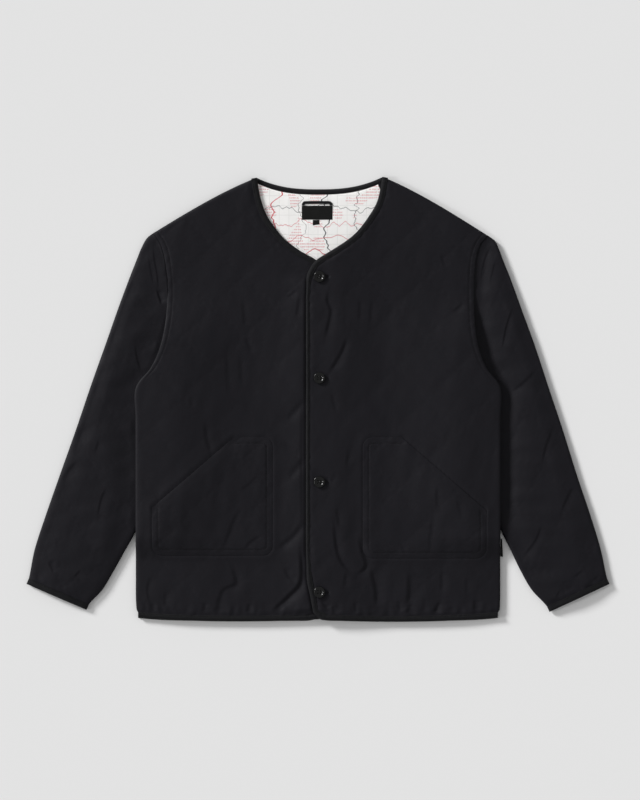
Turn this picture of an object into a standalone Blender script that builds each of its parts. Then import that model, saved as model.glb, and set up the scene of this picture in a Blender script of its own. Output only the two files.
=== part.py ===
"""A collarless quilted liner jacket, laid flat on its back with its front up.

Model space: metres, +Z up, the origin under the middle of the laid-out jacket. +X is the wearer's left
and +Y runs from hem to neck. Drafting is in millimetres, with Y counted up from the lowest hem point.
"""

import math

import bmesh
import bpy
import numpy as np

MM = 0.001

# Driving sizes, in millimetres
LENGTH = 711.0          # neck point to hem
WALL = 3.5              # quilted cloth: shell, wadding and lining
GAP = 0.3               # clearance at seams and between layers
PUFF = 2.0              # air between back and fronts, away from the side seams
PUFF_RISE = 80.0        # how far in from a side seam the air has opened fully
BINDING = 8.5           # folded width of the bias binding
BINDING_SOFT = 0.8      # chamfer along the binding's edges
LINING_WALL = 1.0
TRIM_WALL = 0.8         # woven labels
POCKET_WALL = 1.5
HANGER_WALL = 1.2

# Where the fronts' columns of facets stand, as distances from the bound edge and from the side seam. The
# back shares the side ones, so that the layers rise together.
LAP_STRIP = (0.0, 20.0, 39.0, 54.0, 70.0)
SIDE_STRIP = (100.0, 75.0, 56.0, 42.0, 28.0, 14.0, 0.0)
STRIPS_ROOM = 190.0     # a section narrower than this draws its strips together

# The sleeve's inner fold is tucked under the body, which is lifted over it
LIFT = 2 * WALL + 5 * GAP
LIFT_RUN = 40.0         # how far inwards the lift eases out
LIFT_LEAD = 18.0        # how far inside the tucked fold the lift is already full
LIFT_FLOOR = (96.0, 138.0)      # heights between which the lift comes up, below
LIFT_CEILING = (445.0, 535.0)   # heights between which it goes down again, above

# The wearer's left front lies over the right one by this much either side of the centre
LAP_LEFT = 22.4
LAP_RIGHT = 24.0
LAP_RUN = 30.0          # how far past the lap the upper front comes down again

SIDE = 291.2            # half width of the body
ARMPIT = 373.6          # height of the armpit

# Section rows of each front, hem to shoulder: the closing edge and neck, then the side seam and armhole
FRONT_COLUMNS = ("inner_x", "inner_y", "outer_x", "outer_y")
FRONT_LEFT_ROWS = (
    (5.0, 3.0, 287.5, 6.0),
    (-7.7, 15.2, 290.4, 20.0),
    (-12.0, 36.0, SIDE, 40.0),
    (-19.2, 74.0, SIDE, 70.0),
    (-LAP_LEFT, 114.0, SIDE, LIFT_FLOOR[0]),
    (-LAP_LEFT, 160.0, SIDE, LIFT_FLOOR[1]),
    (-LAP_LEFT, 230.0, SIDE, 200.0),
    (-LAP_LEFT, 310.0, SIDE, 270.0),
    (-LAP_LEFT, 380.0, SIDE, 325.0),
    (-LAP_LEFT, 430.0, SIDE, ARMPIT),
    (-LAP_LEFT, 476.0, 268.8, 405.6),
    (-LAP_LEFT, 516.0, 256.8, 436.0),
    (-20.5, 545.0, 251.2, 468.0),
    (-14.0, 563.0, 249.6, 498.0),
    (-3.2, 577.6, 249.6, 530.0),
    (23.2, 594.4, 250.4, 556.0),
    (47.5, 610.4, 252.8, 580.0),
    (65.1, 626.4, 258.4, 600.0),
    (82.5, 650.0, 264.0, 609.0),
    (95.5, 674.4, 268.0, 613.0),
    (102.9, LENGTH, 272.0, 616.8),
)
FRONT_RIGHT_ROWS = (
    (2.0, 4.0, -287.5, 6.0),
    (14.0, 14.0, -290.0, 20.0),
    (21.0, 28.0, -SIDE, 40.0),
    (LAP_RIGHT, 56.0, -SIDE, 70.0),
    (LAP_RIGHT, 104.0, -SIDE, LIFT_FLOOR[0]),
    (LAP_RIGHT, 160.0, -SIDE, LIFT_FLOOR[1]),
    (LAP_RIGHT, 230.0, -SIDE, 200.0),
    (LAP_RIGHT, 310.0, -SIDE, 270.0),
    (LAP_RIGHT, 380.0, -SIDE, 325.0),
    (LAP_RIGHT, 430.0, -SIDE, ARMPIT),
    (LAP_RIGHT, 476.0, -267.2, 405.6),
    (LAP_RIGHT, 514.0, -253.6, 434.4),
    (22.5, 541.0, -245.6, 466.4),
    (13.0, 563.0, -241.6, 500.0),
    (-3.4, 578.4, -240.8, 530.4),
    (-31.0, 594.4, -242.4, 554.4),
    (-51.8, 610.4, -246.4, 583.2),
    (-66.2, 626.4, -252.0, 602.4),
    (-82.0, 650.0, -257.6, 612.0),
    (-92.0, 678.0, -261.0, 617.0),
    (-97.6, 709.6, -264.0, 620.8),
)
HEM_SAG = 4.5           # how far the hem dips below a straight line from side to front edge
SHOULDER_BOW = 5.0      # how far the shoulder line rises over a straight line
SHOULDER_BOW_POWER = 0.8        # under 1 moves the rise towards the neck
NECK_BACK = 691.4       # height of the back neck at its middle
NECK_BACK_FLAT = 2.6    # exponent of the back neck's curve: higher is flatter in the middle
NECK_STEP = 2.0         # how far past the neck point the back's shoulder line starts
NECK_RISE = 560.0       # height from which the back's sections bend towards its neck and shoulders
NECK_HALF_POINTS = 5    # points of the back neck's edge, from its middle to each end

# Section rows of each sleeve, armhole to cuff: the inner fold, then the outer fold
SLEEVE_COLUMNS = ("inner_x", "inner_y", "outer_x", "outer_y")
SLEEVE_LEFT_ROWS = (
    (263.0, 360.0, 272.2, 617.0),
    (264.0, 336.0, 283.0, 608.6),
    (264.6, 312.0, 289.6, 595.0),
    (265.2, 288.0, 296.0, 578.0),
    (266.0, 264.0, 308.6, 546.4),
    (267.0, 240.0, 326.0, 498.4),
    (270.5, 210.0, 346.4, 442.4),
    (279.0, 174.0, 367.5, 378.4),
    (294.4, 141.6, 391.5, 306.4),
    (308.0, 114.4, 414.0, 234.4),
    (323.4, 82.4, 435.5, 170.4),
    (341.9, 50.4, 452.5, 114.4),
    (369.6, 16.8, 465.6, 61.6),
)
SLEEVE_RIGHT_ROWS = (
    (-262.0, 360.0, -264.4, 621.0),
    (-263.0, 336.0, -274.4, 612.0),
    (-263.6, 312.0, -282.6, 597.0),
    (-264.2, 288.0, -289.4, 580.0),
    (-265.0, 264.0, -302.6, 546.4),
    (-266.0, 240.0, -320.4, 498.4),
    (-268.5, 210.0, -340.0, 442.4),
    (-276.5, 174.0, -362.8, 378.4),
    (-292.6, 141.6, -387.2, 306.4),
    (-308.0, 114.4, -412.8, 234.4),
    (-325.8, 82.4, -435.2, 170.4),
    (-345.0, 50.4, -453.4, 114.4),
    (-369.6, 20.0, -465.6, 61.6),
)
# Below this height the body's armhole edge lies over the sleeve, whose own edge runs on beneath it, through
# these points
TUCK_TOP = 434.0
TUCK_LEFT = ((263.0, 360.0), (260.0, 402.0))
TUCK_RIGHT = ((-262.0, 360.0), (-258.0, 400.0))
SLEEVE_PUFF = 3.0       # air inside the sleeve, away from its folds
SLEEVE_FLAT = 8.0       # how far past the body's edge the sleeve stays pressed flat
SLEEVE_RISE = 45.0      # the distance over which its air opens
SLEEVE_SECTIONS = 17
SLEEVE_ACROSS = 8       # points across each wall of a section
FOLD_POINTS = (0.3, 0.7)        # where a fold's rounded side stands, up the section
ARMHOLE_CLEAR = 0.5     # between the armhole's edge and the sleeve
FADE_RINGS = 7          # sections over which the sleeve leaves the armhole's curve
FADE_POWER = 1.2
FOLD_SOFT = 2.2         # chamfer of a fold
FOLD_HOLLOW = 0.8       # how far the hollow runs into a fold

# The lining that shows in the neck: heights and half widths of its sections
LINING_ACROSS = 11      # points across a section
LINING_COLUMNS = ("height", "half_width")
LINING_ROWS = (
    (546.0, 32.0),
    (572.0, 46.0),
    (598.0, 66.0),
    (624.0, 86.0),
    (650.0, 98.0),
    (676.0, 104.0),
    (699.0, 96.0),
)

# Slant-topped patch pockets: distances from the centre line, and heights
POCKET_COLUMNS = ("inner", "outer", "bottom", "top", "slant_inner", "slant_foot")
POCKET_LEFT = (71.5, 268.5, 101.6, 295.0, 133.1, 178.0)
POCKET_RIGHT = (72.6, 265.1, 106.0, 295.0, 133.8, 182.0)
POCKET_ROUND = 16.0     # radius of the pocket's corners
CORNER_POINTS = 5

BUTTON_HEIGHTS = (551.6, 389.6, 223.6, 47.6)
BUTTON_X = 2.1
BUTTON_RADIUS = 9.2
BUTTON_THICK = 3.2
BUTTON_SOFT = 0.6       # chamfer of its edges
BUTTON_SIDES = 24
BUTTON_DISH = 1.1       # depth of the hollow in the button's face
BUTTON_RIM = 2.4        # width of the rim round it
BUTTON_HOLE = 0.95      # radius of each of the four holes
BUTTON_HOLE_OUT = 2.1   # from the button's middle to a hole's, along X and along Y
BUTTON_HOLE_SIDES = 8

LABEL_X = (-25.9, 23.2)
LABEL_Y = (642.6, 665.0)
HANGER_TAPE = 4.6       # width of the hanger loop's tape
HANGER_TOP = 672.4
HANGER_FLARE = 1.0      # how much its sides lean in
HANGER_CHAMFER = 5.0
TAB_X = (-8.4, 2.2)
TAB_Y = (635.2, 642.2)
TAB_SKEW = 1.8          # how much lower the tab's left corner hangs
SIDE_LABEL_Y = (104.0, 133.0)
SIDE_LABEL_ROWS = 5
SIDE_LABEL_OUT = 4.2
SIDE_LABEL_SPLAY = 1.6  # it stands out further at its lower end

BLACK_CLOTH = ((0.014, 0.014, 0.017), 0.62)
BLACK_TAPE = ((0.008, 0.008, 0.009), 0.55)
PRINTED_LINING = ((0.82, 0.80, 0.78), 0.75)
BLACK_PLASTIC = ((0.008, 0.008, 0.009), 0.16)
BLACK_LABEL = ((0.012, 0.012, 0.012), 0.7)


def table(columns, rows):
    """The rows as one array for each named column."""
    return dict(zip(columns, np.array(rows, float).T))


def ease(t):
    """0 below 0, 1 above 1, and a smooth rise between."""
    t = np.clip(t, 0.0, 1.0)
    return t * t * (3.0 - 2.0 * t)


def through(values, at):
    """Catmull-Rom curve through equally spaced values, read at fractions of its length."""
    values = np.asarray(values, float)
    ends = (2 * values[0] - values[1], 2 * values[-1] - values[-2])
    padded = np.concatenate([[ends[0]], values, [ends[1]]])
    position = np.clip(np.asarray(at, float), 0, 1) * (len(values) - 1)
    start = np.minimum(position.astype(int), len(values) - 2)
    t = position - start
    a, b, c, d = (padded[start + k] for k in range(4))
    square = 2 * a - 5 * b + 4 * c - d
    cube = 3 * b - a - 3 * c + d
    return 0.5 * (2 * b + (c - a) * t + square * t**2 + cube * t**3)


def rows_at(columns, rows, stations):
    """Inner and outer points of a piece's sections at the given fractions from first to last row."""
    named = table(columns, rows)
    inner = np.stack([through(named["inner_x"], stations), through(named["inner_y"], stations)], 1)
    outer = np.stack([through(named["outer_x"], stations), through(named["outer_y"], stations)], 1)
    return inner, outer


def lift(x, y):
    """Height of the body's underside over the table: it passes over the sleeve's tucked fold."""
    rows = SLEEVE_LEFT_ROWS if x > 0 else SLEEVE_RIGHT_ROWS
    folds = table(SLEEVE_COLUMNS, rows)
    fold = np.interp(-y, -folds["inner_y"], np.abs(folds["inner_x"]))
    fold = min(fold, SIDE)
    start = fold - LIFT_LEAD - LIFT_RUN
    across = ease((abs(x) - start) / LIFT_RUN)
    up = ease((y - LIFT_FLOOR[0]) / (LIFT_FLOOR[1] - LIFT_FLOOR[0]))
    down = ease((LIFT_CEILING[1] - y) / (LIFT_CEILING[1] - LIFT_CEILING[0]))
    return float(LIFT * across * up * down)


def body_half(x, y):
    """The body's half width at a height, on the side that x is on."""
    rows = table(FRONT_COLUMNS, FRONT_LEFT_ROWS if x > 0 else FRONT_RIGHT_ROWS)
    return float(np.interp(y, rows["outer_y"], np.abs(rows["outer_x"])))


def pressed(x, y):
    """0 where the body presses a sleeve flat, 1 where the sleeve is free or is sewn to it edge to edge."""
    sewn = ease((y - LIFT_CEILING[0]) / (LIFT_CEILING[1] - LIFT_CEILING[0]))
    beyond = abs(x) - body_half(x, y) - SLEEVE_FLAT * (1 - sewn)
    return float(ease((beyond + SLEEVE_RISE * sewn) / SLEEVE_RISE))


def air(x):
    """Air between the back and the fronts."""
    return float(GAP + PUFF * ease((SIDE - abs(x)) / PUFF_RISE))


def right_under(x, y):
    """Underside of the wearer's right front, which lies on the back."""
    return WALL + air(x) + lift(x, y)


def left_under(x, y):
    """Underside of the wearer's left front, which climbs over the right one at the lap."""
    climb = ease((LAP_RIGHT + GAP + LAP_RUN - x) / LAP_RUN)
    return right_under(x, y) + float((WALL + GAP) * climb)


def shoulder_bow(along):
    """Rise of the shoulder line over its chord, at a fraction from neck to tip."""
    return SHOULDER_BOW * np.sin(math.pi * np.clip(along, 0, 1) ** SHOULDER_BOW_POWER)


def place(x, y, z):
    """A drafted point in model space."""
    return (x * MM, (y - LENGTH / 2) * MM, z * MM)


def finish(name, mesh_data, look, collection, smooth_angle=40.0):
    """A bmesh as a named object with its own material."""
    bmesh.ops.recalc_face_normals(mesh_data, faces=mesh_data.faces)
    mesh = bpy.data.meshes.new(name)
    mesh_data.to_mesh(mesh)
    mesh_data.free()
    mesh.shade_smooth()
    mesh.set_sharp_from_angle(angle=math.radians(smooth_angle))
    colour, roughness = look
    material = bpy.data.materials.new(name)
    material.use_nodes = True
    shader = material.node_tree.nodes["Principled BSDF"]
    shader.inputs["Base Color"].default_value = (*colour, 1.0)
    shader.inputs["Roughness"].default_value = roughness
    shader.inputs["Metallic"].default_value = 0.0
    mesh.materials.append(material)
    piece = bpy.data.objects.new(name, mesh)
    collection.objects.link(piece)
    return piece


def surface(points, under):
    """A triangulated open surface over a grid of drafted points, at the height under(x, y).

    points is an array of rows by columns by x and y.
    """
    rows, columns = points.shape[:2]
    work = bmesh.new()
    bmesh.ops.create_grid(work, x_segments=columns - 1, y_segments=rows - 1, size=0.5)
    for vertex in work.verts:
        column = round((vertex.co.x + 0.5) * (columns - 1))
        row = round((vertex.co.y + 0.5) * (rows - 1))
        x, y = points[row, column]
        vertex.co = place(x, y, under(x, y))
    bmesh.ops.triangulate(work, faces=work.faces, quad_method="SHORT_EDGE")
    return work


def thicken(work, wall):
    """Gives a surface a wall, straight up from it."""
    raised = bmesh.ops.extrude_face_region(work, geom=list(work.faces))
    top = [item for item in raised["geom"] if isinstance(item, bmesh.types.BMVert)]
    bmesh.ops.translate(work, verts=top, vec=(0, 0, wall * MM))


def sheet(name, points, under, wall, look, collection):
    """A wall of cloth over a grid of drafted points."""
    work = surface(points, under)
    thicken(work, wall)
    return finish(name, work, look, collection)


def loft(name, sections, look, collection, hollow=None):
    """A solid through like sections of 3D points. With hollow sections it is a tube with a wall."""
    work = bmesh.new()
    stack = list(sections)
    if hollow is not None:
        stack += list(reversed(hollow))
    rings = [[work.verts.new(place(*point)) for point in section] for section in stack]
    pairs = list(zip(rings, rings[1:]))
    if hollow is None:
        work.faces.new(rings[0])
        work.faces.new(rings[-1])
    else:
        pairs.append((rings[-1], rings[0]))
    for ring, following in pairs:
        count = len(ring)
        for k in range(count):
            after = (k + 1) % count
            work.faces.new((ring[k], ring[after], following[after], following[k]))
    return finish(name, work, look, collection)


def inward(path, side):
    """Unit normals of a path of drafted points, to the side that the cloth is on."""
    step = np.gradient(path, axis=0)
    step /= np.linalg.norm(step, axis=1)[:, None]
    return side * np.stack([step[:, 1], -step[:, 0]], 1)


def band(name, outer, inner, under, look, collection):
    """Binding between two paths of drafted points, with softened edges, as thick as the cloth."""
    sections = []
    for (ox, oy), (ix, iy) in zip(outer, inner):
        width = math.hypot(ix - ox, iy - oy)
        profile = (
            (0.0, BINDING_SOFT),
            (BINDING_SOFT, 0.0),
            (width, 0.0),
            (width, WALL),
            (BINDING_SOFT, WALL),
            (0.0, WALL - BINDING_SOFT),
        )
        section = []
        for across, up in profile:
            x = ox + (ix - ox) * across / width
            y = oy + (iy - oy) * across / width
            section.append((x, y, under(x, y) + up))
        sections.append(section)
    return loft(name, sections, look, collection)


def front_grid(rows, side):
    """A front's bound edge, the line where its cloth starts, and the cloth's points."""
    inner, outer = rows_at(FRONT_COLUMNS, rows, np.linspace(0, 1, len(rows)))
    bound = inner + inward(inner, side) * BINDING
    bound[0] = inner[0] + np.array([side, 1.0]) * BINDING
    grid = []
    for start, end in zip(bound, outer):
        width = np.linalg.norm(end - start)
        draw = min(1.0, width / STRIPS_ROOM)
        near = np.array(LAP_STRIP) * draw / width
        far = 1 - np.array(SIDE_STRIP) * draw / width
        between = near[-1] + (far[0] - near[-1]) * np.array([1 / 3, 2 / 3])
        across = np.concatenate([near, between, far])
        grid.append(start + (end - start) * across[:, None])
    grid = np.array(grid)
    hem = (side * grid[0, :, 0] - side * inner[0, 0]) / (side * (outer[0, 0] - inner[0, 0]))
    grid[0, :, 1] = inner[0, 1] + (outer[0, 1] - inner[0, 1]) * hem - HEM_SAG * 4 * hem * (1 - hem) + BINDING
    along = (grid[-1, :, 0] - inner[-1, 0]) / (outer[-1, 0] - inner[-1, 0])
    grid[-1, :, 1] = inner[-1, 1] + (outer[-1, 1] - inner[-1, 1]) * along + shoulder_bow(along)
    return inner, bound, grid


def make_front(name, rows, side, under, collection):
    """One front with the binding of its closing edge and neck, and the binding of its hem."""
    inner, bound, grid = front_grid(rows, side)
    sheet("front_" + name, grid, under, WALL, BLACK_CLOTH, collection)

    shrink = (BINDING - GAP) / BINDING
    edge = inner.copy()
    edge_inside = inner + (grid[:, 0] - inner) * shrink
    mitre = np.array([0.0, GAP])
    edge[0] += mitre
    edge_inside[0] += mitre
    band("binding_front_" + name, edge, edge_inside, under, BLACK_TAPE, collection)

    hem_inside = grid[0] - np.array([0.0, GAP])
    hem_edge = grid[0] - np.array([0.0, BINDING])
    hem_edge[0] = inner[0] + np.array([side * GAP, 0.0])
    hem_inside[0] = hem_inside[0] + np.array([side * GAP, 0.0])
    band("binding_hem_" + name, hem_edge, hem_inside, under, BLACK_TAPE, collection)


def back_neck(x):
    """Height of the back neck's edge."""
    half = FRONT_LEFT_ROWS[-1][0] if x > 0 else -FRONT_RIGHT_ROWS[-1][0]
    end = FRONT_LEFT_ROWS[-1][1] if x > 0 else FRONT_RIGHT_ROWS[-1][1]
    return NECK_BACK + (end - NECK_BACK) * min(abs(x) / half, 1.0) ** NECK_BACK_FLAT


def neck_reach(x):
    """Whether a place along the top lies in the neck, and not on a shoulder."""
    return FRONT_RIGHT_ROWS[-1][0] - GAP <= x <= FRONT_LEFT_ROWS[-1][0] + GAP


def shoulder(x):
    """Height of the shoulder line, between neck point and tip."""
    neck_x, neck_y, tip_x, tip_y = FRONT_LEFT_ROWS[-1] if x > 0 else FRONT_RIGHT_ROWS[-1]
    along = (x - neck_x) / (tip_x - neck_x)
    return neck_y + (tip_y - neck_y) * along + float(shoulder_bow(along))


def back_grid():
    """The back's points: the fronts' own beside the seams, so that the layers rise together, and the
    middle filled in between, up to the neck."""
    _, _, right = front_grid(FRONT_RIGHT_ROWS, -1)
    _, _, left = front_grid(FRONT_LEFT_ROWS, 1)
    strip = len(SIDE_STRIP)
    right, left = right[:, -strip:][:, ::-1], left[:, -strip:]
    neck_right, neck_left = FRONT_RIGHT_ROWS[-1][0], FRONT_LEFT_ROWS[-1][0]
    tops = np.concatenate([
        [neck_right - NECK_STEP],
        np.linspace(neck_right, 0, NECK_HALF_POINTS),
        np.linspace(0, neck_left, NECK_HALF_POINTS)[1:],
        [neck_left + NECK_STEP],
    ])
    top_line = np.array([back_neck(x) - BINDING if neck_reach(x) else shoulder(x) for x in tops])
    grid = []
    for r, (right_row, left_row) in enumerate(zip(right, left)):
        reach = np.where(tops > 0, left_row[0, 0] / left[-1, 0, 0], right_row[-1, 0] / right[-1, -1, 0])
        middle_x = tops * reach
        share = (middle_x - right_row[-1, 0]) / (left_row[0, 0] - right_row[-1, 0])
        chord = right_row[-1, 1] + (left_row[0, 1] - right_row[-1, 1]) * share
        top_chord = right[-1, -1, 1] + (left[-1, 0, 1] - right[-1, -1, 1]) * share
        rise = ease((chord - NECK_RISE) / (top_chord - NECK_RISE)) ** 1.5
        middle = np.stack([middle_x, chord + (top_line - top_chord) * rise], 1)
        grid.append(np.concatenate([right_row, middle, left_row]))
    return np.array(grid)


def make_back(collection):
    """The back, one piece from hem to shoulders, with its hem and neck bindings."""
    grid = back_grid()
    sheet("back", grid, lift, WALL, BLACK_CLOTH, collection)
    hem_edge = grid[0] - np.array([0.0, BINDING])
    hem_inside = grid[0] - np.array([0.0, GAP])
    band("binding_hem_back", hem_edge, hem_inside, lift, BLACK_TAPE, collection)

    in_neck = [c for c, (x, _) in enumerate(grid[-1]) if neck_reach(x)]
    neck_inside = grid[-1, in_neck] + np.array([0.0, GAP])
    neck = grid[-1, in_neck] + np.array([0.0, BINDING])
    for path in (neck, neck_inside):
        path[0, 0] += 2 * GAP
        path[-1, 0] -= 2 * GAP
    band("binding_neck_back", neck, neck_inside, lift, BLACK_TAPE, collection)


def make_lining(collection):
    """The printed lining where it shows in the neck, tucked a little way under the fronts."""
    named = table(LINING_COLUMNS, LINING_ROWS)
    fractions = np.linspace(-1, 1, LINING_ACROSS)
    grid = np.zeros((len(LINING_ROWS), len(fractions), 2))
    last = len(LINING_ROWS) - 1
    for r, (height, half) in enumerate(zip(named["height"], named["half_width"])):
        for c, fraction in enumerate(fractions):
            top = back_neck(fraction * named["half_width"][-1]) - BINDING - GAP
            share = (r / last) ** 3
            grid[r, c] = (fraction * half, height + (top - named["height"][-1]) * share)

    def under(x, y):
        return WALL + GAP + lift(x, y)

    sheet("lining", grid, under, LINING_WALL, PRINTED_LINING, collection)


def sleeve_axis(inner, outer):
    """Unit vector across the cuff's end, pointing out of the sleeve."""
    chord = outer - inner
    across = np.array([chord[1], -chord[0]]) / np.linalg.norm(chord)
    return across if across[1] < 0 else -across


def armhole_path(front_rows, tuck, side):
    """The sleeve's own armhole edge: from the tucked fold, then just clear of the body's armhole."""
    armhole = np.array([row[2:] for row in front_rows if row[3] >= TUCK_TOP])
    return np.concatenate([tuck, armhole - inward(armhole, -side) * ARMHOLE_CLEAR])


def read_path(path, fraction):
    """The point at a fraction of a path's length."""
    length = np.concatenate([[0], np.cumsum(np.linalg.norm(np.diff(path, axis=0), axis=1))])
    at = fraction * length[-1]
    return np.array([np.interp(at, length, path[:, 0]), np.interp(at, length, path[:, 1])])


def sleeve_ring(inner, outer, bend, puff_at_seam, blend):
    """One flattened section of a sleeve: its outline and the outline of its hollow.

    bend(fraction) moves a point off the chord, and blend goes from 0 at the armhole, where the air
    matches the body's, to 1 where it is the sleeve's own.
    """
    width = float(np.linalg.norm(outer - inner))
    across = np.linspace(0, 1, SLEEVE_ACROSS)

    def spot(distance):
        fraction = distance / width
        return inner + (outer - inner) * fraction + bend(fraction)

    def point(distance, up):
        x, y = spot(distance)
        return (x, y, up)

    def hollow_height(distance):
        own = SLEEVE_PUFF * ease((width - distance) / SLEEVE_RISE) * ease(distance / SLEEVE_RISE)
        seam = puff_at_seam(distance / width) - GAP
        return GAP + pressed(*spot(distance)) * (own * blend + seam * (1 - blend))

    def outline(start, end, floor, side_reach, wall):
        bottom = [point(start + (end - start) * f, floor) for f in across]
        top = []
        for f in across[::-1]:
            distance = start + (end - start) * f
            top.append(point(distance, 2 * WALL + hollow_height(distance) - wall))
        sides = []
        for edge, reach in ((end, side_reach), (start, -side_reach)):
            height = 2 * WALL + hollow_height(edge) - wall
            span = height - floor
            pair = [point(edge + reach, floor + span * share) for share in FOLD_POINTS]
            sides.append(pair if reach > 0 else pair[::-1])
        return bottom + sides[0] + top + sides[1]

    shell = outline(FOLD_SOFT, width - FOLD_SOFT, 0.0, FOLD_SOFT, 0.0)
    hollow = outline(WALL, width - WALL, WALL, FOLD_HOLLOW, WALL)
    return shell, hollow


def make_sleeve(name, front_rows, rows, tuck, side, collection):
    """A sleeve pressed flat: a tube from the armhole to the cuff, and the cuff's binding."""
    stations = np.linspace(0, 1, SLEEVE_SECTIONS)
    inner, outer = rows_at(SLEEVE_COLUMNS, rows, stations)
    path = armhole_path(front_rows, tuck, side)
    inner[0], outer[0] = path[0], path[-1]
    end_axis = sleeve_axis(inner[-1], outer[-1])
    tip_inner, tip_outer = inner[-1].copy(), outer[-1].copy()
    inner[-1] -= end_axis * BINDING
    outer[-1] -= end_axis * BINDING

    def seam_offset(fraction):
        return read_path(path, fraction) - (path[0] + (path[-1] - path[0]) * fraction)

    def seam_air(fraction):
        return air(read_path(path, fraction)[0])

    shells, hollows = [], []
    for k in range(len(stations)):
        blend = float(ease(k / FADE_RINGS))
        fade = (1 - blend) ** FADE_POWER

        def bend(fraction, fade=fade):
            return seam_offset(fraction) * fade

        shell, hollow = sleeve_ring(inner[k], outer[k], bend, seam_air, blend)
        shells.append(shell)
        hollows.append(hollow)
    loft("sleeve_" + name, shells, BLACK_CLOTH, collection, hollows)

    def straight(fraction):
        return np.zeros(2)

    cuff_shells, cuff_hollows = [], []
    for reach in (BINDING - GAP, 0.0):
        shell, hollow = sleeve_ring(
            tip_inner - end_axis * reach,
            tip_outer - end_axis * reach,
            straight,
            seam_air,
            1.0,
        )
        cuff_shells.append(shell)
        cuff_hollows.append(hollow)
    loft("binding_cuff_" + name, cuff_shells, BLACK_TAPE, collection, cuff_hollows)


def corner(centre, radius, start, end):
    """Points of a rounded corner, between two angles in degrees."""
    turns = np.radians(np.linspace(start, end, CORNER_POINTS))
    return [(centre[0] + radius * math.cos(a), centre[1] + radius * math.sin(a)) for a in turns]


def pocket_outline(size):
    """A pocket's outline, counter-clockwise, as distances from the centre line and heights."""
    named = dict(zip(POCKET_COLUMNS, size))
    near, far = named["inner"] + POCKET_ROUND, named["outer"] - POCKET_ROUND
    low, high = named["bottom"] + POCKET_ROUND, named["top"] - POCKET_ROUND
    outline = corner((near, low), POCKET_ROUND, 180, 270)
    outline += corner((far, low), POCKET_ROUND, 270, 360)
    outline += [(named["outer"], named["slant_foot"]), (named["slant_inner"], named["top"])]
    return outline + corner((near, high), POCKET_ROUND, 90, 180)


def make_pocket(name, size, rows, side, under, collection):
    """A patch pocket: the front's own surface, cut to the pocket's outline and moved out."""
    _, _, grid = front_grid(rows, side)
    work = surface(grid, lambda x, y: under(x, y) + WALL + GAP)
    outline = pocket_outline(size)
    for start, end in zip(outline, outline[1:] + outline[:1]):
        run, rise = end[0] - start[0], end[1] - start[1]
        bmesh.ops.bisect_plane(
            work,
            geom=list(work.verts) + list(work.edges) + list(work.faces),
            plane_co=place(side * start[0], start[1], 0),
            plane_no=(side * rise, -run, 0),
            clear_outer=True,
        )
    thicken(work, POCKET_WALL)
    return finish("pocket_" + name, work, BLACK_CLOTH, collection)


def make_button(number, height, collection, cutters):
    """A dished four-hole button, turned and drilled, lying on the upper front."""
    rest = left_under(BUTTON_X, height) + WALL + GAP
    dish = BUTTON_THICK - BUTTON_DISH
    profile = (
        (0.0, dish),
        (BUTTON_RADIUS - BUTTON_RIM - BUTTON_SOFT, dish),
        (BUTTON_RADIUS - BUTTON_RIM, BUTTON_THICK),
        (BUTTON_RADIUS - BUTTON_SOFT, BUTTON_THICK),
        (BUTTON_RADIUS, BUTTON_THICK - BUTTON_SOFT),
        (BUTTON_RADIUS, BUTTON_SOFT),
        (BUTTON_RADIUS - BUTTON_SOFT, 0.0),
        (0.0, 0.0),
    )
    work = bmesh.new()
    chain = [work.verts.new(place(BUTTON_X + r, height, rest + z)) for r, z in profile]
    edges = [work.edges.new(pair) for pair in zip(chain, chain[1:])]
    bmesh.ops.spin(
        work,
        geom=chain + edges,
        cent=place(BUTTON_X, height, rest),
        axis=(0, 0, 1),
        angle=2 * math.pi,
        steps=BUTTON_SIDES,
        use_merge=True,
    )
    bmesh.ops.remove_doubles(work, verts=work.verts, dist=1e-6)
    button = finish(f"button_{number}", work, BLACK_PLASTIC, collection)

    holes = bmesh.new()
    for sx in (-1, 1):
        for sy in (-1, 1):
            drilled = bmesh.ops.create_cone(
                holes,
                cap_ends=True,
                segments=BUTTON_HOLE_SIDES,
                radius1=BUTTON_HOLE * MM,
                radius2=BUTTON_HOLE * MM,
                depth=4 * BUTTON_THICK * MM,
            )
            centre = place(BUTTON_X + sx * BUTTON_HOLE_OUT, height + sy * BUTTON_HOLE_OUT, rest)
            bmesh.ops.translate(holes, verts=drilled["verts"], vec=centre)
    cutter = finish(f"holes_{number}", holes, BLACK_PLASTIC, cutters)
    cutter.hide_render = True
    cutter.display_type = "WIRE"
    drill = button.modifiers.new("holes", "BOOLEAN")
    drill.operation = "DIFFERENCE"
    drill.object = cutter


def plate(name, outline, floor, wall, look, collection):
    """A flat piece: an outline of drafted points, thickened up from its floor."""
    work = bmesh.new()
    face = work.faces.new([work.verts.new(place(x, y, floor)) for x, y in outline])
    raised = bmesh.ops.extrude_face_region(work, geom=[face])
    top = [item for item in raised["geom"] if isinstance(item, bmesh.types.BMVert)]
    bmesh.ops.translate(work, verts=top, vec=(0, 0, wall * MM))
    bmesh.ops.recalc_face_normals(work, faces=work.faces)
    return finish(name, work, look, collection, 20.0)


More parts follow.
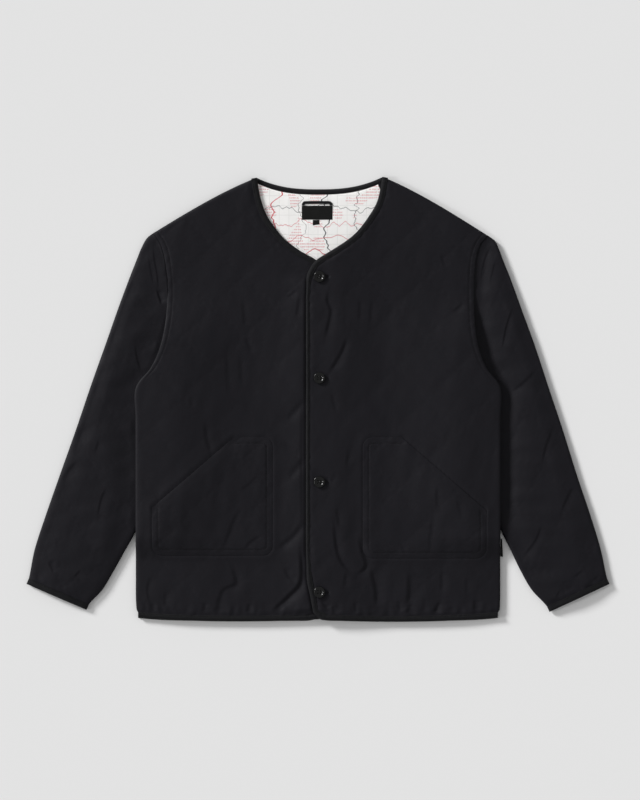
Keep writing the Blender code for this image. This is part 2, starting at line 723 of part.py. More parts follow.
def make_labels(collection):
    """The neck label, its hanger loop and size tab on the lining, and the side label at the seam."""
    floor = WALL + GAP + LINING_WALL + GAP
    left, right = LABEL_X
    low, high = LABEL_Y
    corners = ((left, low), (right, low), (right, high), (left, high))
    plate("neck_label", corners, floor, TRIM_WALL, BLACK_LABEL, collection)

    foot = high + GAP
    inset = HANGER_TAPE
    loop = (
        (left, foot),
        (left + inset, foot),
        (left + inset + HANGER_FLARE, HANGER_TOP - HANGER_TAPE),
        (right - inset - HANGER_FLARE, HANGER_TOP - HANGER_TAPE),
        (right - inset, foot),
        (right, foot),
        (right - HANGER_CHAMFER, HANGER_TOP),
        (left + HANGER_CHAMFER, HANGER_TOP),
    )
    plate("hanger_loop", loop, floor, HANGER_WALL, BLACK_TAPE, collection)

    tab_left, tab_right = TAB_X
    tab_low, tab_high = TAB_Y
    tab = (
        (tab_left, tab_low - TAB_SKEW),
        (tab_right, tab_low),
        (tab_right, tab_high),
        (tab_left, tab_high),
    )
    plate("size_tab", tab, floor, TRIM_WALL, BLACK_LABEL, collection)

    side_low, side_high = SIDE_LABEL_Y
    seat = SIDE + GAP
    heights = np.linspace(side_low, side_high, SIDE_LABEL_ROWS)
    reach = SIDE_LABEL_OUT - SIDE_LABEL_SPLAY * (heights - side_low) / (side_high - side_low)
    grid = np.array([[(seat, y), (seat + out, y)] for y, out in zip(heights, reach)])

    def under(x, y):
        return lift(SIDE, y) + WALL - TRIM_WALL / 2

    sheet("side_label", grid, under, TRIM_WALL, BLACK_LABEL, collection)


def main():
    """Clears the scene and makes every piece."""
    for piece in list(bpy.data.objects):
        bpy.data.objects.remove(piece, do_unlink=True)
    scene = bpy.context.scene
    jacket = bpy.data.collections.new("quilted_jacket")
    cutters = bpy.data.collections.new("cutters")
    scene.collection.children.link(jacket)
    scene.collection.children.link(cutters)
    cutters.hide_render = True

    make_back(jacket)
    make_lining(jacket)
    make_front("right", FRONT_RIGHT_ROWS, -1, right_under, jacket)
    make_front("left", FRONT_LEFT_ROWS, 1, left_under, jacket)
    make_sleeve("right", FRONT_RIGHT_ROWS, SLEEVE_RIGHT_ROWS, TUCK_RIGHT, -1, jacket)
    make_sleeve("left", FRONT_LEFT_ROWS, SLEEVE_LEFT_ROWS, TUCK_LEFT, 1, jacket)
    make_pocket("right", POCKET_RIGHT, FRONT_RIGHT_ROWS, -1, right_under, jacket)
    make_pocket("left", POCKET_LEFT, FRONT_LEFT_ROWS, 1, left_under, jacket)
    for number, height in enumerate(BUTTON_HEIGHTS, 1):
        make_button(number, height, jacket, cutters)
    make_labels(jacket)


main()
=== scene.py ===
"""Looks of a collarless quilted liner jacket, laid flat on its back with its front up.

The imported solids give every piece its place. Cloth is drafted here in millimetres, with X towards the
wearer's left and Y counted up from the lowest hem point, and is made in metres in the frame of the solids.
"""

import logging
import math
from collections.abc import Callable, Iterable
from dataclasses import dataclass
from enum import Enum

import bmesh
import bpy
import numpy as np
from mathutils import Matrix, Vector


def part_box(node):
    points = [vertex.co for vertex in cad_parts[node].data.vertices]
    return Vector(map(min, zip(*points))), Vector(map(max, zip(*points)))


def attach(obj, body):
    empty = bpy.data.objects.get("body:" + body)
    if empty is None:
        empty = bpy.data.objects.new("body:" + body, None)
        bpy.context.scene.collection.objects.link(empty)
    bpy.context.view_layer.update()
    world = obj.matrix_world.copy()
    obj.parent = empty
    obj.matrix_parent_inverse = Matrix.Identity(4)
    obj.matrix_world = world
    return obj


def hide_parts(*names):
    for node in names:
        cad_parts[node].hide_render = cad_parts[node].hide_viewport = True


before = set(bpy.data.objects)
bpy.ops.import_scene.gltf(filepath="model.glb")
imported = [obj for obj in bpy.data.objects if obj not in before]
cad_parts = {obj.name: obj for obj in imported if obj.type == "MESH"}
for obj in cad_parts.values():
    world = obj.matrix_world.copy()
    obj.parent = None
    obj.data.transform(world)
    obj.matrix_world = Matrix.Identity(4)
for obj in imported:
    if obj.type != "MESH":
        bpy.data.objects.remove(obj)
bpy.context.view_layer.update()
MM = 0.001
BODY = "root"
LENGTH = 711.0

log = logging.getLogger("jacket")
Array = np.ndarray
Under = Callable[[Array, Array], Array]


class Side(Enum):
    """A side of the jacket, as the sign of its X."""

    LEFT = 1
    RIGHT = -1

    @property
    def word(self) -> str:
        """The side's name, as the solids' names end."""
        return self.name.lower()


# ---------------------------------------------------------------- drafting helpers


def ease(t: Array | float) -> Array:
    """0 below 0, 1 above 1, and a smooth rise between."""
    t = np.clip(t, 0.0, 1.0)
    return t * t * (3.0 - 2.0 * t)


def through(values: Iterable[float], at: Array) -> Array:
    """Reads a Catmull-Rom curve through equally spaced values.

    Args:
        values: what the curve passes through.
        at: fractions of its length.

    Returns:
        The curve's value at each fraction.
    """
    values = np.asarray(values, float)
    padded = np.concatenate([[2 * values[0] - values[1]], values, [2 * values[-1] - values[-2]]])
    position = np.clip(np.asarray(at, float), 0, 1) * (len(values) - 1)
    start = np.minimum(position.astype(int), len(values) - 2)
    t = position - start
    a, b, c, d = (padded[start + k] for k in range(4))
    square = 2 * a - 5 * b + 4 * c - d
    cube = 3 * b - a - 3 * c + d
    return 0.5 * (2 * b + (c - a) * t + square * t**2 + cube * t**3)


def edge_of(table: Array, first: int, at: Array) -> Array:
    """A smooth edge through two columns of a table, X and Y, read at fractions of its length."""
    return np.stack([through(table[:, first], at), through(table[:, first + 1], at)], 1)


def lengths(path: Array) -> Array:
    """How far along a path each of its points lies."""
    return np.concatenate([[0], np.cumsum(np.linalg.norm(np.diff(path, axis=0), axis=1))])


def read_path(path: Array, at: Array) -> Array:
    """Points of a path at distances along it."""
    length = lengths(path)
    return np.stack([np.interp(at, length, column) for column in path.T], 1)


def evenly(path: Array, count: int) -> Array:
    """A path of drafted points, read at even steps."""
    return read_path(path, np.linspace(0, lengths(path)[-1], count))


def crowded(count: int, share: float) -> Array:
    """Steps from 0 to 1, closer together near both ends by a share."""
    even = np.linspace(0, 1, count)
    return share * (0.5 - 0.5 * np.cos(math.pi * even)) + (1 - share) * even


def from_ends(count: int) -> Array:
    """How far each of a row of points is from the row's nearer end, as a fraction of the row."""
    return np.minimum(np.linspace(0, 1, count), np.linspace(1, 0, count))[None]


def curve(points: Iterable[tuple[float, float]], count: int) -> Array:
    """Points at even steps of a smooth curve through some drafted points.

    Args:
        points: the drafted points.
        count: how many points come back.

    Returns:
        An array of count by 2.
    """
    points = np.asarray(points, float)
    return evenly(edge_of(points, 0, np.linspace(0, 1, 12 * len(points))), count)


def to_path(x: Array, y: Array, path: Array) -> tuple[Array, Array, Array]:
    """How far places lie from a path.

    Args:
        x: the places' X.
        y: their Y.
        path: the path's points.

    Returns:
        The distance, positive to the path's left, the fraction of the path at the nearest point, and
        the plain distance.
    """
    steps = np.linalg.norm(np.diff(path, axis=0), axis=1)
    length = lengths(path)
    best = np.full(x.shape, np.inf)
    signed = np.zeros(x.shape)
    fraction = np.zeros(x.shape)
    for k, step in enumerate(steps):
        run = (path[k + 1] - path[k]) / step
        dx, dy = x - path[k, 0], y - path[k, 1]
        along = np.clip(dx * run[0] + dy * run[1], 0, step)
        off = np.hypot(dx - along * run[0], dy - along * run[1])
        nearer = off < best
        best = np.where(nearer, off, best)
        side = np.sign(run[0] * dy - run[1] * dx)
        signed = np.where(nearer, off * side, signed)
        fraction = np.where(nearer, (length[k] + along) / length[-1], fraction)
    return signed, fraction, best


def inward(path: Array, side: int) -> Array:
    """Unit normals of a path of drafted points, to the side that the cloth is on."""
    step = np.gradient(path, axis=0)
    step /= np.linalg.norm(step, axis=1)[:, None]
    return side * np.stack([step[:, 1], -step[:, 0]], 1)


def ripple(x: Array, y: Array, scale: float, seed: int, waves: int = 9) -> Array:
    """Smooth unevenness of cloth: plane waves of about one length in mixed directions.

    Args:
        x: the places' X.
        y: their Y.
        scale: the waves' length.
        seed: what their directions and phases are drawn from.
        waves: how many are added up.

    Returns:
        Values of about -1 to 1.
    """
    rng = np.random.default_rng(seed)
    total = np.zeros(np.shape(x))
    for _ in range(waves):
        angle, phase = rng.uniform(0, math.tau, 2)
        number = math.tau / (scale * rng.uniform(0.7, 1.5))
        total += np.sin(number * (x * math.cos(angle) + y * math.sin(angle)) + phase)
    return total / math.sqrt(2 * waves)


def roll(distance: Array, reach: float, depth: float) -> Array:
    """How far a padded edge falls away, from depth at the edge to nothing at reach, as a quarter ellipse."""
    t = np.clip(1 - distance / reach, 0, 1)
    return depth * (1 - np.sqrt(1 - t * t))


def bell(distance: Array, width: float) -> Array:
    """1 at no distance, fading smoothly over about a width."""
    return np.exp(-((distance / width) ** 2))


# ---------------------------------------------------------------- meshes


def placed(points: Array) -> list:
    """Drafted 3D points in metres, in the frame of the solids."""
    return (points * MM - np.array([0, LENGTH / 2 * MM, 0])).tolist()


def lay_grid(points: Array) -> bmesh.types.BMesh:
    """A grid of faces over drafted 3D points, rows by columns by three."""
    rows, columns = points.shape[:2]
    spots = placed(points)
    work = bmesh.new()
    bmesh.ops.create_grid(work, x_segments=columns - 1, y_segments=rows - 1, size=0.5)
    spot = work.verts.layers.int.new("spot")
    for vertex in work.verts:
        column = round((vertex.co.x + 0.5) * (columns - 1))
        row = round((vertex.co.y + 0.5) * (rows - 1))
        vertex.co = spots[row][column]
        vertex[spot] = row * columns + column
    return work


def finish(
    work: bmesh.types.BMesh, name: str, material: bpy.types.Material, sharp: float = 50.0
) -> bpy.types.Object:
    """A bmesh as a shaded, named object.

    Args:
        work: the bmesh, which is freed.
        name: the object's name.
        material: what it is dressed in.
        sharp: edges that turn more than this, in degrees, stay crisp.

    Returns:
        The object, at the origin.
    """
    bmesh.ops.recalc_face_normals(work, faces=work.faces)
    spot = work.verts.layers.int.get("spot")
    if spot is not None:
        work.verts.layers.int.remove(spot)
    mesh = bpy.data.meshes.new(name)
    work.to_mesh(mesh)
    work.free()
    mesh.shade_smooth()
    mesh.set_sharp_from_angle(angle=math.radians(sharp))
    mesh.materials.append(material)
    piece = bpy.data.objects.new(name, mesh)
    bpy.context.scene.collection.objects.link(piece)
    log.info("%s: %d faces", name, len(mesh.polygons))
    return piece


def shell(under: Array, top: Array) -> bmesh.types.BMesh:
    """A closed wall of cloth between two grids of drafted 3D points."""
    work = lay_grid(under)
    spot = work.verts.layers.int["spot"]
    raised = bmesh.ops.extrude_face_region(work, geom=list(work.faces))
    columns = top.shape[1]
    spots = placed(top)
    for item in raised["geom"]:
        if isinstance(item, bmesh.types.BMVert):
            row, column = divmod(item[spot], columns)
            item.co = spots[row][column]
    return work


def tube(rings: Array, closed_on_itself: bool = False) -> bmesh.types.BMesh:
    """A closed tube through rings of drafted 3D points.

    Args:
        rings: rows by ring points by three, where the last ring point isn't the first again.
        closed_on_itself: whether the last row joins the first, or both ends are capped.

    Returns:
        The tube.
    """
    rings = np.concatenate([rings, rings[:, :1]], 1)
    if closed_on_itself:
        rings = np.concatenate([rings, rings[:1]], 0)
    work = lay_grid(rings)
    bmesh.ops.remove_doubles(work, verts=work.verts, dist=1e-7)
    if not closed_on_itself:
        bmesh.ops.holes_fill(work, edges=[e for e in work.edges if e.is_boundary], sides=0)
    return work


# ---------------------------------------------------------------- shader nodes


class Socket:
    """A node's output, on which arithmetic adds Math nodes."""

    def __init__(self, graph: "Graph", output: bpy.types.NodeSocket) -> None:
        """Wraps an output of a graph's node."""
        self.graph = graph
        self.output = output

    def maths(self, operation: str, *others: "Socket | float") -> "Socket":
        """A Math node on this value and others."""
        return self.graph.node("ShaderNodeMath", {"operation": operation}, dict(enumerate((self, *others))))

    def __add__(self, other: "Socket | float") -> "Socket":
        """Sum."""
        return self.maths("ADD", other)

    def __sub__(self, other: "Socket | float") -> "Socket":
        """Difference."""
        return self.maths("SUBTRACT", other)

    def __mul__(self, other: "Socket | float") -> "Socket":
        """Product."""
        return self.maths("MULTIPLY", other)

    __radd__ = __add__
    __rmul__ = __mul__

    def __abs__(self) -> "Socket":
        """Absolute value."""
        return self.maths("ABSOLUTE")

    def sine(self) -> "Socket":
        """Sine of the value."""
        return self.maths("SINE")

    def wrapped(self, period: float) -> "Socket":
        """Distance to the nearest multiple of a period."""
        return abs(self.maths("WRAP", period / 2, -period / 2))

    def below(self, width: float, soft: float) -> "Socket":
        """1 under a width and 0 above it, with a soft step."""
        limits = {"From Min": width, "From Max": width + soft, "To Min": 1.0, "To Max": 0.0}
        settings = {"interpolation_type": "SMOOTHSTEP"}
        return self.graph.node("ShaderNodeMapRange", settings, {"Value": self, **limits})


class Graph:
    """A material's nodes."""

    def __init__(self, name: str) -> None:
        """Starts a material that holds a Principled shader alone."""
        self.material = bpy.data.materials.new(name)
        self.material.use_nodes = True
        self.tree = self.material.node_tree
        self.shader = self.tree.nodes["Principled BSDF"]

    def node(
        self, kind: str, settings: dict | None = None, inputs: dict | None = None, output: int | str = 0
    ) -> Socket:
        """Adds a node.

        Args:
            kind: the node's type.
            settings: its properties, and "stops" for a ramp's positions and colours.
            inputs: a value or a Socket for each input that is set, by name or number.
            output: the output that is wanted.

        Returns:
            That output.
        """
        made = self.tree.nodes.new(kind)
        for key, value in (settings or {}).items():
            if key == "stops":
                ramp = made.color_ramp.elements
                while len(ramp) < len(value):
                    ramp.new(1.0)
                for element, (position, colour) in zip(ramp, value):
                    element.position = position
                    element.color = colour
            else:
                setattr(made, key, value)
        for key, value in (inputs or {}).items():
            self.feed(made.inputs[key], value)
        return Socket(self, made.outputs[output])

    def feed(self, entry: bpy.types.NodeSocket, value: "Socket | float | tuple") -> None:
        """Links a Socket to an input, or sets the input's value."""
        if isinstance(value, Socket):
            self.tree.links.new(value.output, entry)
        else:
            entry.default_value = value

    def dress(self, **inputs: "Socket | float | tuple") -> None:
        """Feeds the Principled shader, with an underscore for each space of an input's name."""
        for key, value in inputs.items():
            self.feed(self.shader.inputs[key.replace("_", " ")], value)

    def place(self, turn: float = 0.0) -> tuple[Socket, Socket, Socket]:
        """X and Y on the piece in millimetres, turned by an angle in radians, and the place as a vector."""
        coordinates = self.node("ShaderNodeTexCoord", output="Object")
        sizes = {"Rotation": (0, 0, -turn), "Scale": (1 / MM, 1 / MM, 1 / MM)}
        turned = self.node("ShaderNodeMapping", {"vector_type": "POINT"}, {"Vector": coordinates, **sizes})
        x = self.node("ShaderNodeSeparateXYZ", inputs={0: turned}, output="X")
        y = Socket(self, x.output.node.outputs["Y"])
        return x, y, turned

    def noise(self, place: Socket, size: float, detail: float = 2.0) -> Socket:
        """Noise of about a size in millimetres, from 0 to 1."""
        inputs = {"Vector": place, "Scale": 1 / size, "Detail": detail}
        return self.node("ShaderNodeTexNoise", {"noise_dimensions": "3D"}, inputs)

    def mix(self, share: Socket | float, first: "Socket | tuple", second: "Socket | tuple") -> Socket:
        """Two colours, mixed."""
        made = self.tree.nodes.new("ShaderNodeMix")
        made.data_type = "RGBA"
        colours = [entry for entry in made.inputs if entry.type == "RGBA"]
        self.feed(made.inputs[0], share)
        self.feed(colours[0], first)
        self.feed(colours[1], second)
        found = next(entry for entry in made.outputs if entry.type == "RGBA")
        return Socket(self, found)

    def shades(self, share: Socket, tone: float, ends: tuple[float, float], tint: "Tint") -> Socket:
        """A tone of a tint that wanders between two multiples of itself."""
        darker, lighter = (grey(tone * end, tint.blue, tint.red) for end in ends)
        return self.mix(share, darker, lighter)

    def bump(self, height: Socket, distance: float) -> Socket:
        """A normal from a height of 0 to 1 that stands for a distance in millimetres."""
        inputs = {"Strength": 1.0, "Distance": distance * MM, "Height": height}
        return self.node("ShaderNodeBump", inputs=inputs)


@dataclass(frozen=True)
class Tint:
    """How far a near-neutral colour leans to blue and red."""

    blue: float = 1.0
    red: float = 1.0


NEUTRAL = Tint()
CLOTH_SPECULAR = 0.14


def grey(value: float, blue: float, red: float) -> tuple[float, float, float, float]:
    """A near-neutral colour."""
    return (value * red, value, value * blue, 1.0)


@dataclass(frozen=True)
class QuiltedNylon:
    """Black plain-woven nylon, lightly crinkled, with a soft sheen."""

    tone: float = 0.0062
    tint: Tint = Tint(1.4, 1.08)
    roughness: float = 0.6
    thread: float = 0.42
    turn: float = 0.0

    def material(self, name: str) -> bpy.types.Material:
        """Makes the finish.

        Args:
            name: the material's name.

        Returns:
            The material.
        """
        graph = Graph(name)
        x, y, place = graph.place(self.turn)
        weave = (x * (math.tau / self.thread)).sine() * (y * (math.tau / self.thread)).sine()
        crinkle = graph.noise(place, 9.0, 4.0)
        cloud = graph.noise(place, 60.0, 2.0)
        height = crinkle * 0.9 + weave * 0.05
        graph.dress(
            Base_Color=graph.shades(cloud, self.tone, (0.86, 1.12), self.tint),
            Roughness=crinkle * 0.14 + weave * 0.04 + (self.roughness - 0.07),
            Specular_IOR_Level=CLOTH_SPECULAR,
            Sheen_Weight=0.02,
            Sheen_Roughness=0.4,
            Normal=graph.bump(height, 0.32),
        )
        return graph.material


@dataclass(frozen=True)
class BiasTape:
    """Black folded tape with a fine diagonal rib."""

    tone: float = 0.0049
    tint: Tint = Tint(1.2)
    rib: float = 0.7
    roughness: float = 0.6

    def material(self, name: str) -> bpy.types.Material:
        """Makes the finish, from its name."""
        graph = Graph(name)
        x, y, place = graph.place(math.radians(45))
        rib = (x * (math.tau / self.rib)).sine()
        pick = (y * (math.tau / self.rib * 1.6)).sine()
        wear = graph.noise(place, 14.0, 3.0)
        graph.dress(
            Base_Color=graph.shades(wear, self.tone, (0.8, 1.25), self.tint),
            Roughness=wear * 0.1 + rib * 0.03 + (self.roughness - 0.05),
            Specular_IOR_Level=CLOTH_SPECULAR,
            Sheen_Weight=0.02,
            Normal=graph.bump(rib * 0.3 + pick * 0.12 + wear * 0.6, 0.22),
        )
        return graph.material


@dataclass(frozen=True)
class PrintedLining:
    """Off-white lining, printed with a pale grid under wandering lines and short dashes."""

    ground: tuple[float, float, float, float] = (0.97, 0.955, 0.94, 1.0)
    grid: tuple[float, float, float, float] = (0.74, 0.73, 0.71, 1.0)
    red: tuple[float, float, float, float] = (0.60, 0.055, 0.075, 1.0)
    pink: tuple[float, float, float, float] = (0.72, 0.24, 0.27, 1.0)
    black: tuple[float, float, float, float] = (0.03, 0.03, 0.035, 1.0)
    pitch: float = 15.5

    def wander(
        self, graph: Graph, across: Socket, along: Socket, seat: float, swing: float, size: float
    ) -> Socket:
        """Distance in millimetres from a wandering line.

        Args:
            graph: the material's nodes.
            across: the coordinate that the line keeps to.
            along: the coordinate that it runs along.
            seat: where it lies across.
            swing: how far it strays.
            size: the length of its bends.

        Returns:
            The distance.
        """
        inputs = {"W": along * (1 / size) + seat * 0.37, "Scale": 1.0, "Detail": 3.0}
        stray = graph.node("ShaderNodeTexNoise", {"noise_dimensions": "1D"}, inputs)
        return abs(across - seat - (stray - 0.5) * (2 * swing))

    def material(self, name: str) -> bpy.types.Material:
        """Makes the finish, from its name."""
        graph = Graph(name)
        x, y, place = graph.place()
        weave = (x * (math.tau / 0.4)).sine() * (y * (math.tau / 0.4)).sine()
        lines = x.wrapped(self.pitch).below(0.12, 0.5) + y.wrapped(self.pitch).below(0.12, 0.5)
        colour = graph.mix(lines.maths("MINIMUM", 0.55), self.ground, self.grid)
        # each line's two coordinates, seat, swing, bend, width, ink and strength
        printed = (
            (x, y, -70.0, 26.0, 46.0, 1.5, self.red, 0.95),
            (y, x, 232.0, 30.0, 60.0, 1.3, self.red, 0.85),
            (y, x, 281.0, 24.0, 38.0, 0.7, self.pink, 0.9),
            (x, y, 14.0, 34.0, 52.0, 1.5, self.black, 0.95),
            (x, y, 62.0, 30.0, 34.0, 0.7, self.black, 0.85),
            (y, x, 306.0, 26.0, 44.0, 0.6, self.black, 0.8),
            (x, y, -28.0, 30.0, 40.0, 0.45, self.black, 0.7),
            (y, x, 258.0, 34.0, 80.0, 0.6, self.red, 0.8),
        )
        for across, along, seat, swing, size, width, ink, strength in printed:
            line = self.wander(graph, across, along, seat, swing, size).below(width * 0.5, 0.45)
            colour = graph.mix(line * strength, colour, ink)
        rows = y.wrapped(4.6).below(0.75, 0.5)
        dashes = (x + graph.noise(place, 5.0, 1.0) * 6.0).wrapped(3.1).below(0.85, 0.5)
        patches = graph.noise(place, 26.0, 0.0).maths("GREATER_THAN", 0.61)
        colour = graph.mix(rows * dashes * patches * 0.62, colour, self.pink)
        graph.dress(
            Base_Color=colour,
            Roughness=0.72,
            Specular_IOR_Level=0.25,
            Normal=graph.bump(weave * 0.3 + graph.noise(place, 12.0, 3.0), 0.3),
        )
        return graph.material


@dataclass(frozen=True)
class GlossPlastic:
    """Polished black button plastic, with faint wear."""

    tone: float = 0.0022
    roughness: float = 0.2

    def material(self, name: str) -> bpy.types.Material:
        """Makes the finish, from its name."""
        graph = Graph(name)
        wear = graph.noise(graph.place()[2], 2.4, 4.0)
        graph.dress(
            Base_Color=graph.shades(wear, self.tone, (0.8, 1.3), NEUTRAL),
            Roughness=wear * 0.12 + (self.roughness - 0.05),
            Specular_IOR_Level=0.34,
            Normal=graph.bump(wear, 0.02),
        )
        return graph.material


@dataclass(frozen=True)
class WovenLabel:
    """Bare black satin label tape, ribbed across."""

    tone: float = 0.0042
    rib: float = 0.5

    def material(self, name: str) -> bpy.types.Material:
        """Makes the finish, from its name."""
        graph = Graph(name)
        x, y, place = graph.place()
        rib = (y * (math.tau / self.rib)).sine()
        warp = (x * (math.tau / self.rib * 2)).sine()
        wear = graph.noise(place, 8.0, 3.0)
        graph.dress(
            Base_Color=graph.shades(wear, self.tone, (0.8, 1.2), NEUTRAL),
            Roughness=rib * 0.05 + wear * 0.1 + 0.58,
            Specular_IOR_Level=CLOTH_SPECULAR,
            Normal=graph.bump(rib * 0.5 + warp * 0.2 + wear * 0.4, 0.15),
        )
        return graph.material


@dataclass(frozen=True)
class SewingThread:
    """Black sewing thread, twisted."""

    tone: float = 0.0055

    def material(self, name: str) -> bpy.types.Material:
        """Makes the finish, from its name."""
        graph = Graph(name)
        x, _, place = graph.place(math.radians(30))
        twist = (x * (math.tau / 0.5)).sine()
        graph.dress(
            Base_Color=graph.shades(graph.noise(place, 3.0), self.tone, (0.8, 1.3), NEUTRAL),
            Roughness=twist * 0.05 + 0.6,
            Specular_IOR_Level=CLOTH_SPECULAR,
            Normal=graph.bump(twist, 0.08),
        )
        return graph.material


@dataclass(frozen=True)
class FloorPaint:
    """The plain pale floor."""

    tone: tuple[float, float, float, float] = (0.80, 0.80, 0.80, 1.0)

    def material(self, name: str) -> bpy.types.Material:
        """Makes the finish, from its name."""
        graph = Graph(name)
        mottle = graph.noise(graph.place()[2], 400.0, 1.0)
        light = tuple(1.004 * part for part in self.tone[:3]) + (1.0,)
        graph.dress(Base_Color=graph.mix(mottle, self.tone, light), Roughness=0.9, Specular_IOR_Level=0.1)
        return graph.material


def sleeve_turn(side: Side) -> float:
    """How far a sleeve's cloth is turned from the body's, in radians."""
    return side.value * math.radians(15)


class Wardrobe:
    """Every finish of the jacket, made once."""

    def __init__(self) -> None:
        """Makes the materials."""
        self.nylon = QuiltedNylon().material("quilted_nylon")
        self.sleeves = {
            side: QuiltedNylon(turn=sleeve_turn(side)).material(f"quilted_nylon_sleeve_{side.word}")
            for side in Side
        }
        self.tape = BiasTape().material("bias_tape")
        self.lining = PrintedLining().material("printed_lining")
        self.plastic = GlossPlastic().material("button_plastic")
        self.label = WovenLabel().material("woven_label")
        self.thread = SewingThread().material("sewing_thread")


# ---------------------------------------------------------------- the laid-out jacket


FOLDING = np.array([0.64, 0.77])  # across the way that cloth folds over itself


@dataclass(frozen=True)
class Crease:
    """A soft trough pressed into cloth along a path, with low ridges beside it, in millimetres."""

    depth: float
    width: float
    path: tuple[tuple[float, float], ...]
    ridge: float = 0.12
    dark_side: float = 0.42
    light_side: float = 2.1

    def relief(self, x: Array, y: Array) -> Array:
        """Height that the crease adds at the given places."""
        path = curve(self.path, 6 * len(self.path)) if len(self.path) > 2 else np.asarray(self.path, float)
        reach = 5 * self.width
        low, high = path.min(0) - reach, path.max(0) + reach
        near = (x > low[0]) & (x < high[0]) & (y > low[1]) & (y < high[1])
        added = np.zeros(x.shape)
        signed, fraction, distance = to_path(x[near], y[near], path)
        run = path[-1] - path[0]
        folded_over = signed * np.sign(run @ FOLDING) > 0
        width = self.width * np.where(folded_over, self.dark_side, self.light_side)
        taper = ease(4 * fraction) * ease(4 * (1 - fraction)) * 0.85 + 0.15
        trough = bell(distance, width)
        ridges = bell(distance - 2.4 * width, 1.3 * width)
        added[near] = self.depth * taper * (self.ridge * ridges - trough)
        return added


@dataclass(frozen=True)
class Quilting:
    """Diamond quilting: two families of sewn lines between soft puffs, in millimetres."""

    corner: tuple[float, float] = (-22.4, 258.4)
    pitch: float = 97.6
    turn: float = 0.0
    puff: float = 0.6
    width: float = 10.0

    def relief(self, x: Array, y: Array) -> Array:
        """Height of the cloth over its sewn lines."""
        dx, dy = x - self.corner[0], y - self.corner[1]
        across = dx * math.cos(self.turn) + dy * math.sin(self.turn)
        along = dy * math.cos(self.turn) - dx * math.sin(self.turn)
        nearest = np.full(np.shape(x), np.inf)
        for family in (across + along, across - along):
            off = (family + self.pitch / 2) % self.pitch - self.pitch / 2
            nearest = np.minimum(nearest, np.abs(off) / math.sqrt(2))
        swell = 1 - np.exp(-((nearest / self.width) ** 1.4))
        uneven = 0.75 + 0.35 * ripple(x, y, 130.0, 11)
        gathers = 0.16 * ripple(x, y, 9.0, 12) * np.exp(-nearest / 7.0)
        return self.puff * uneven * swell + gathers


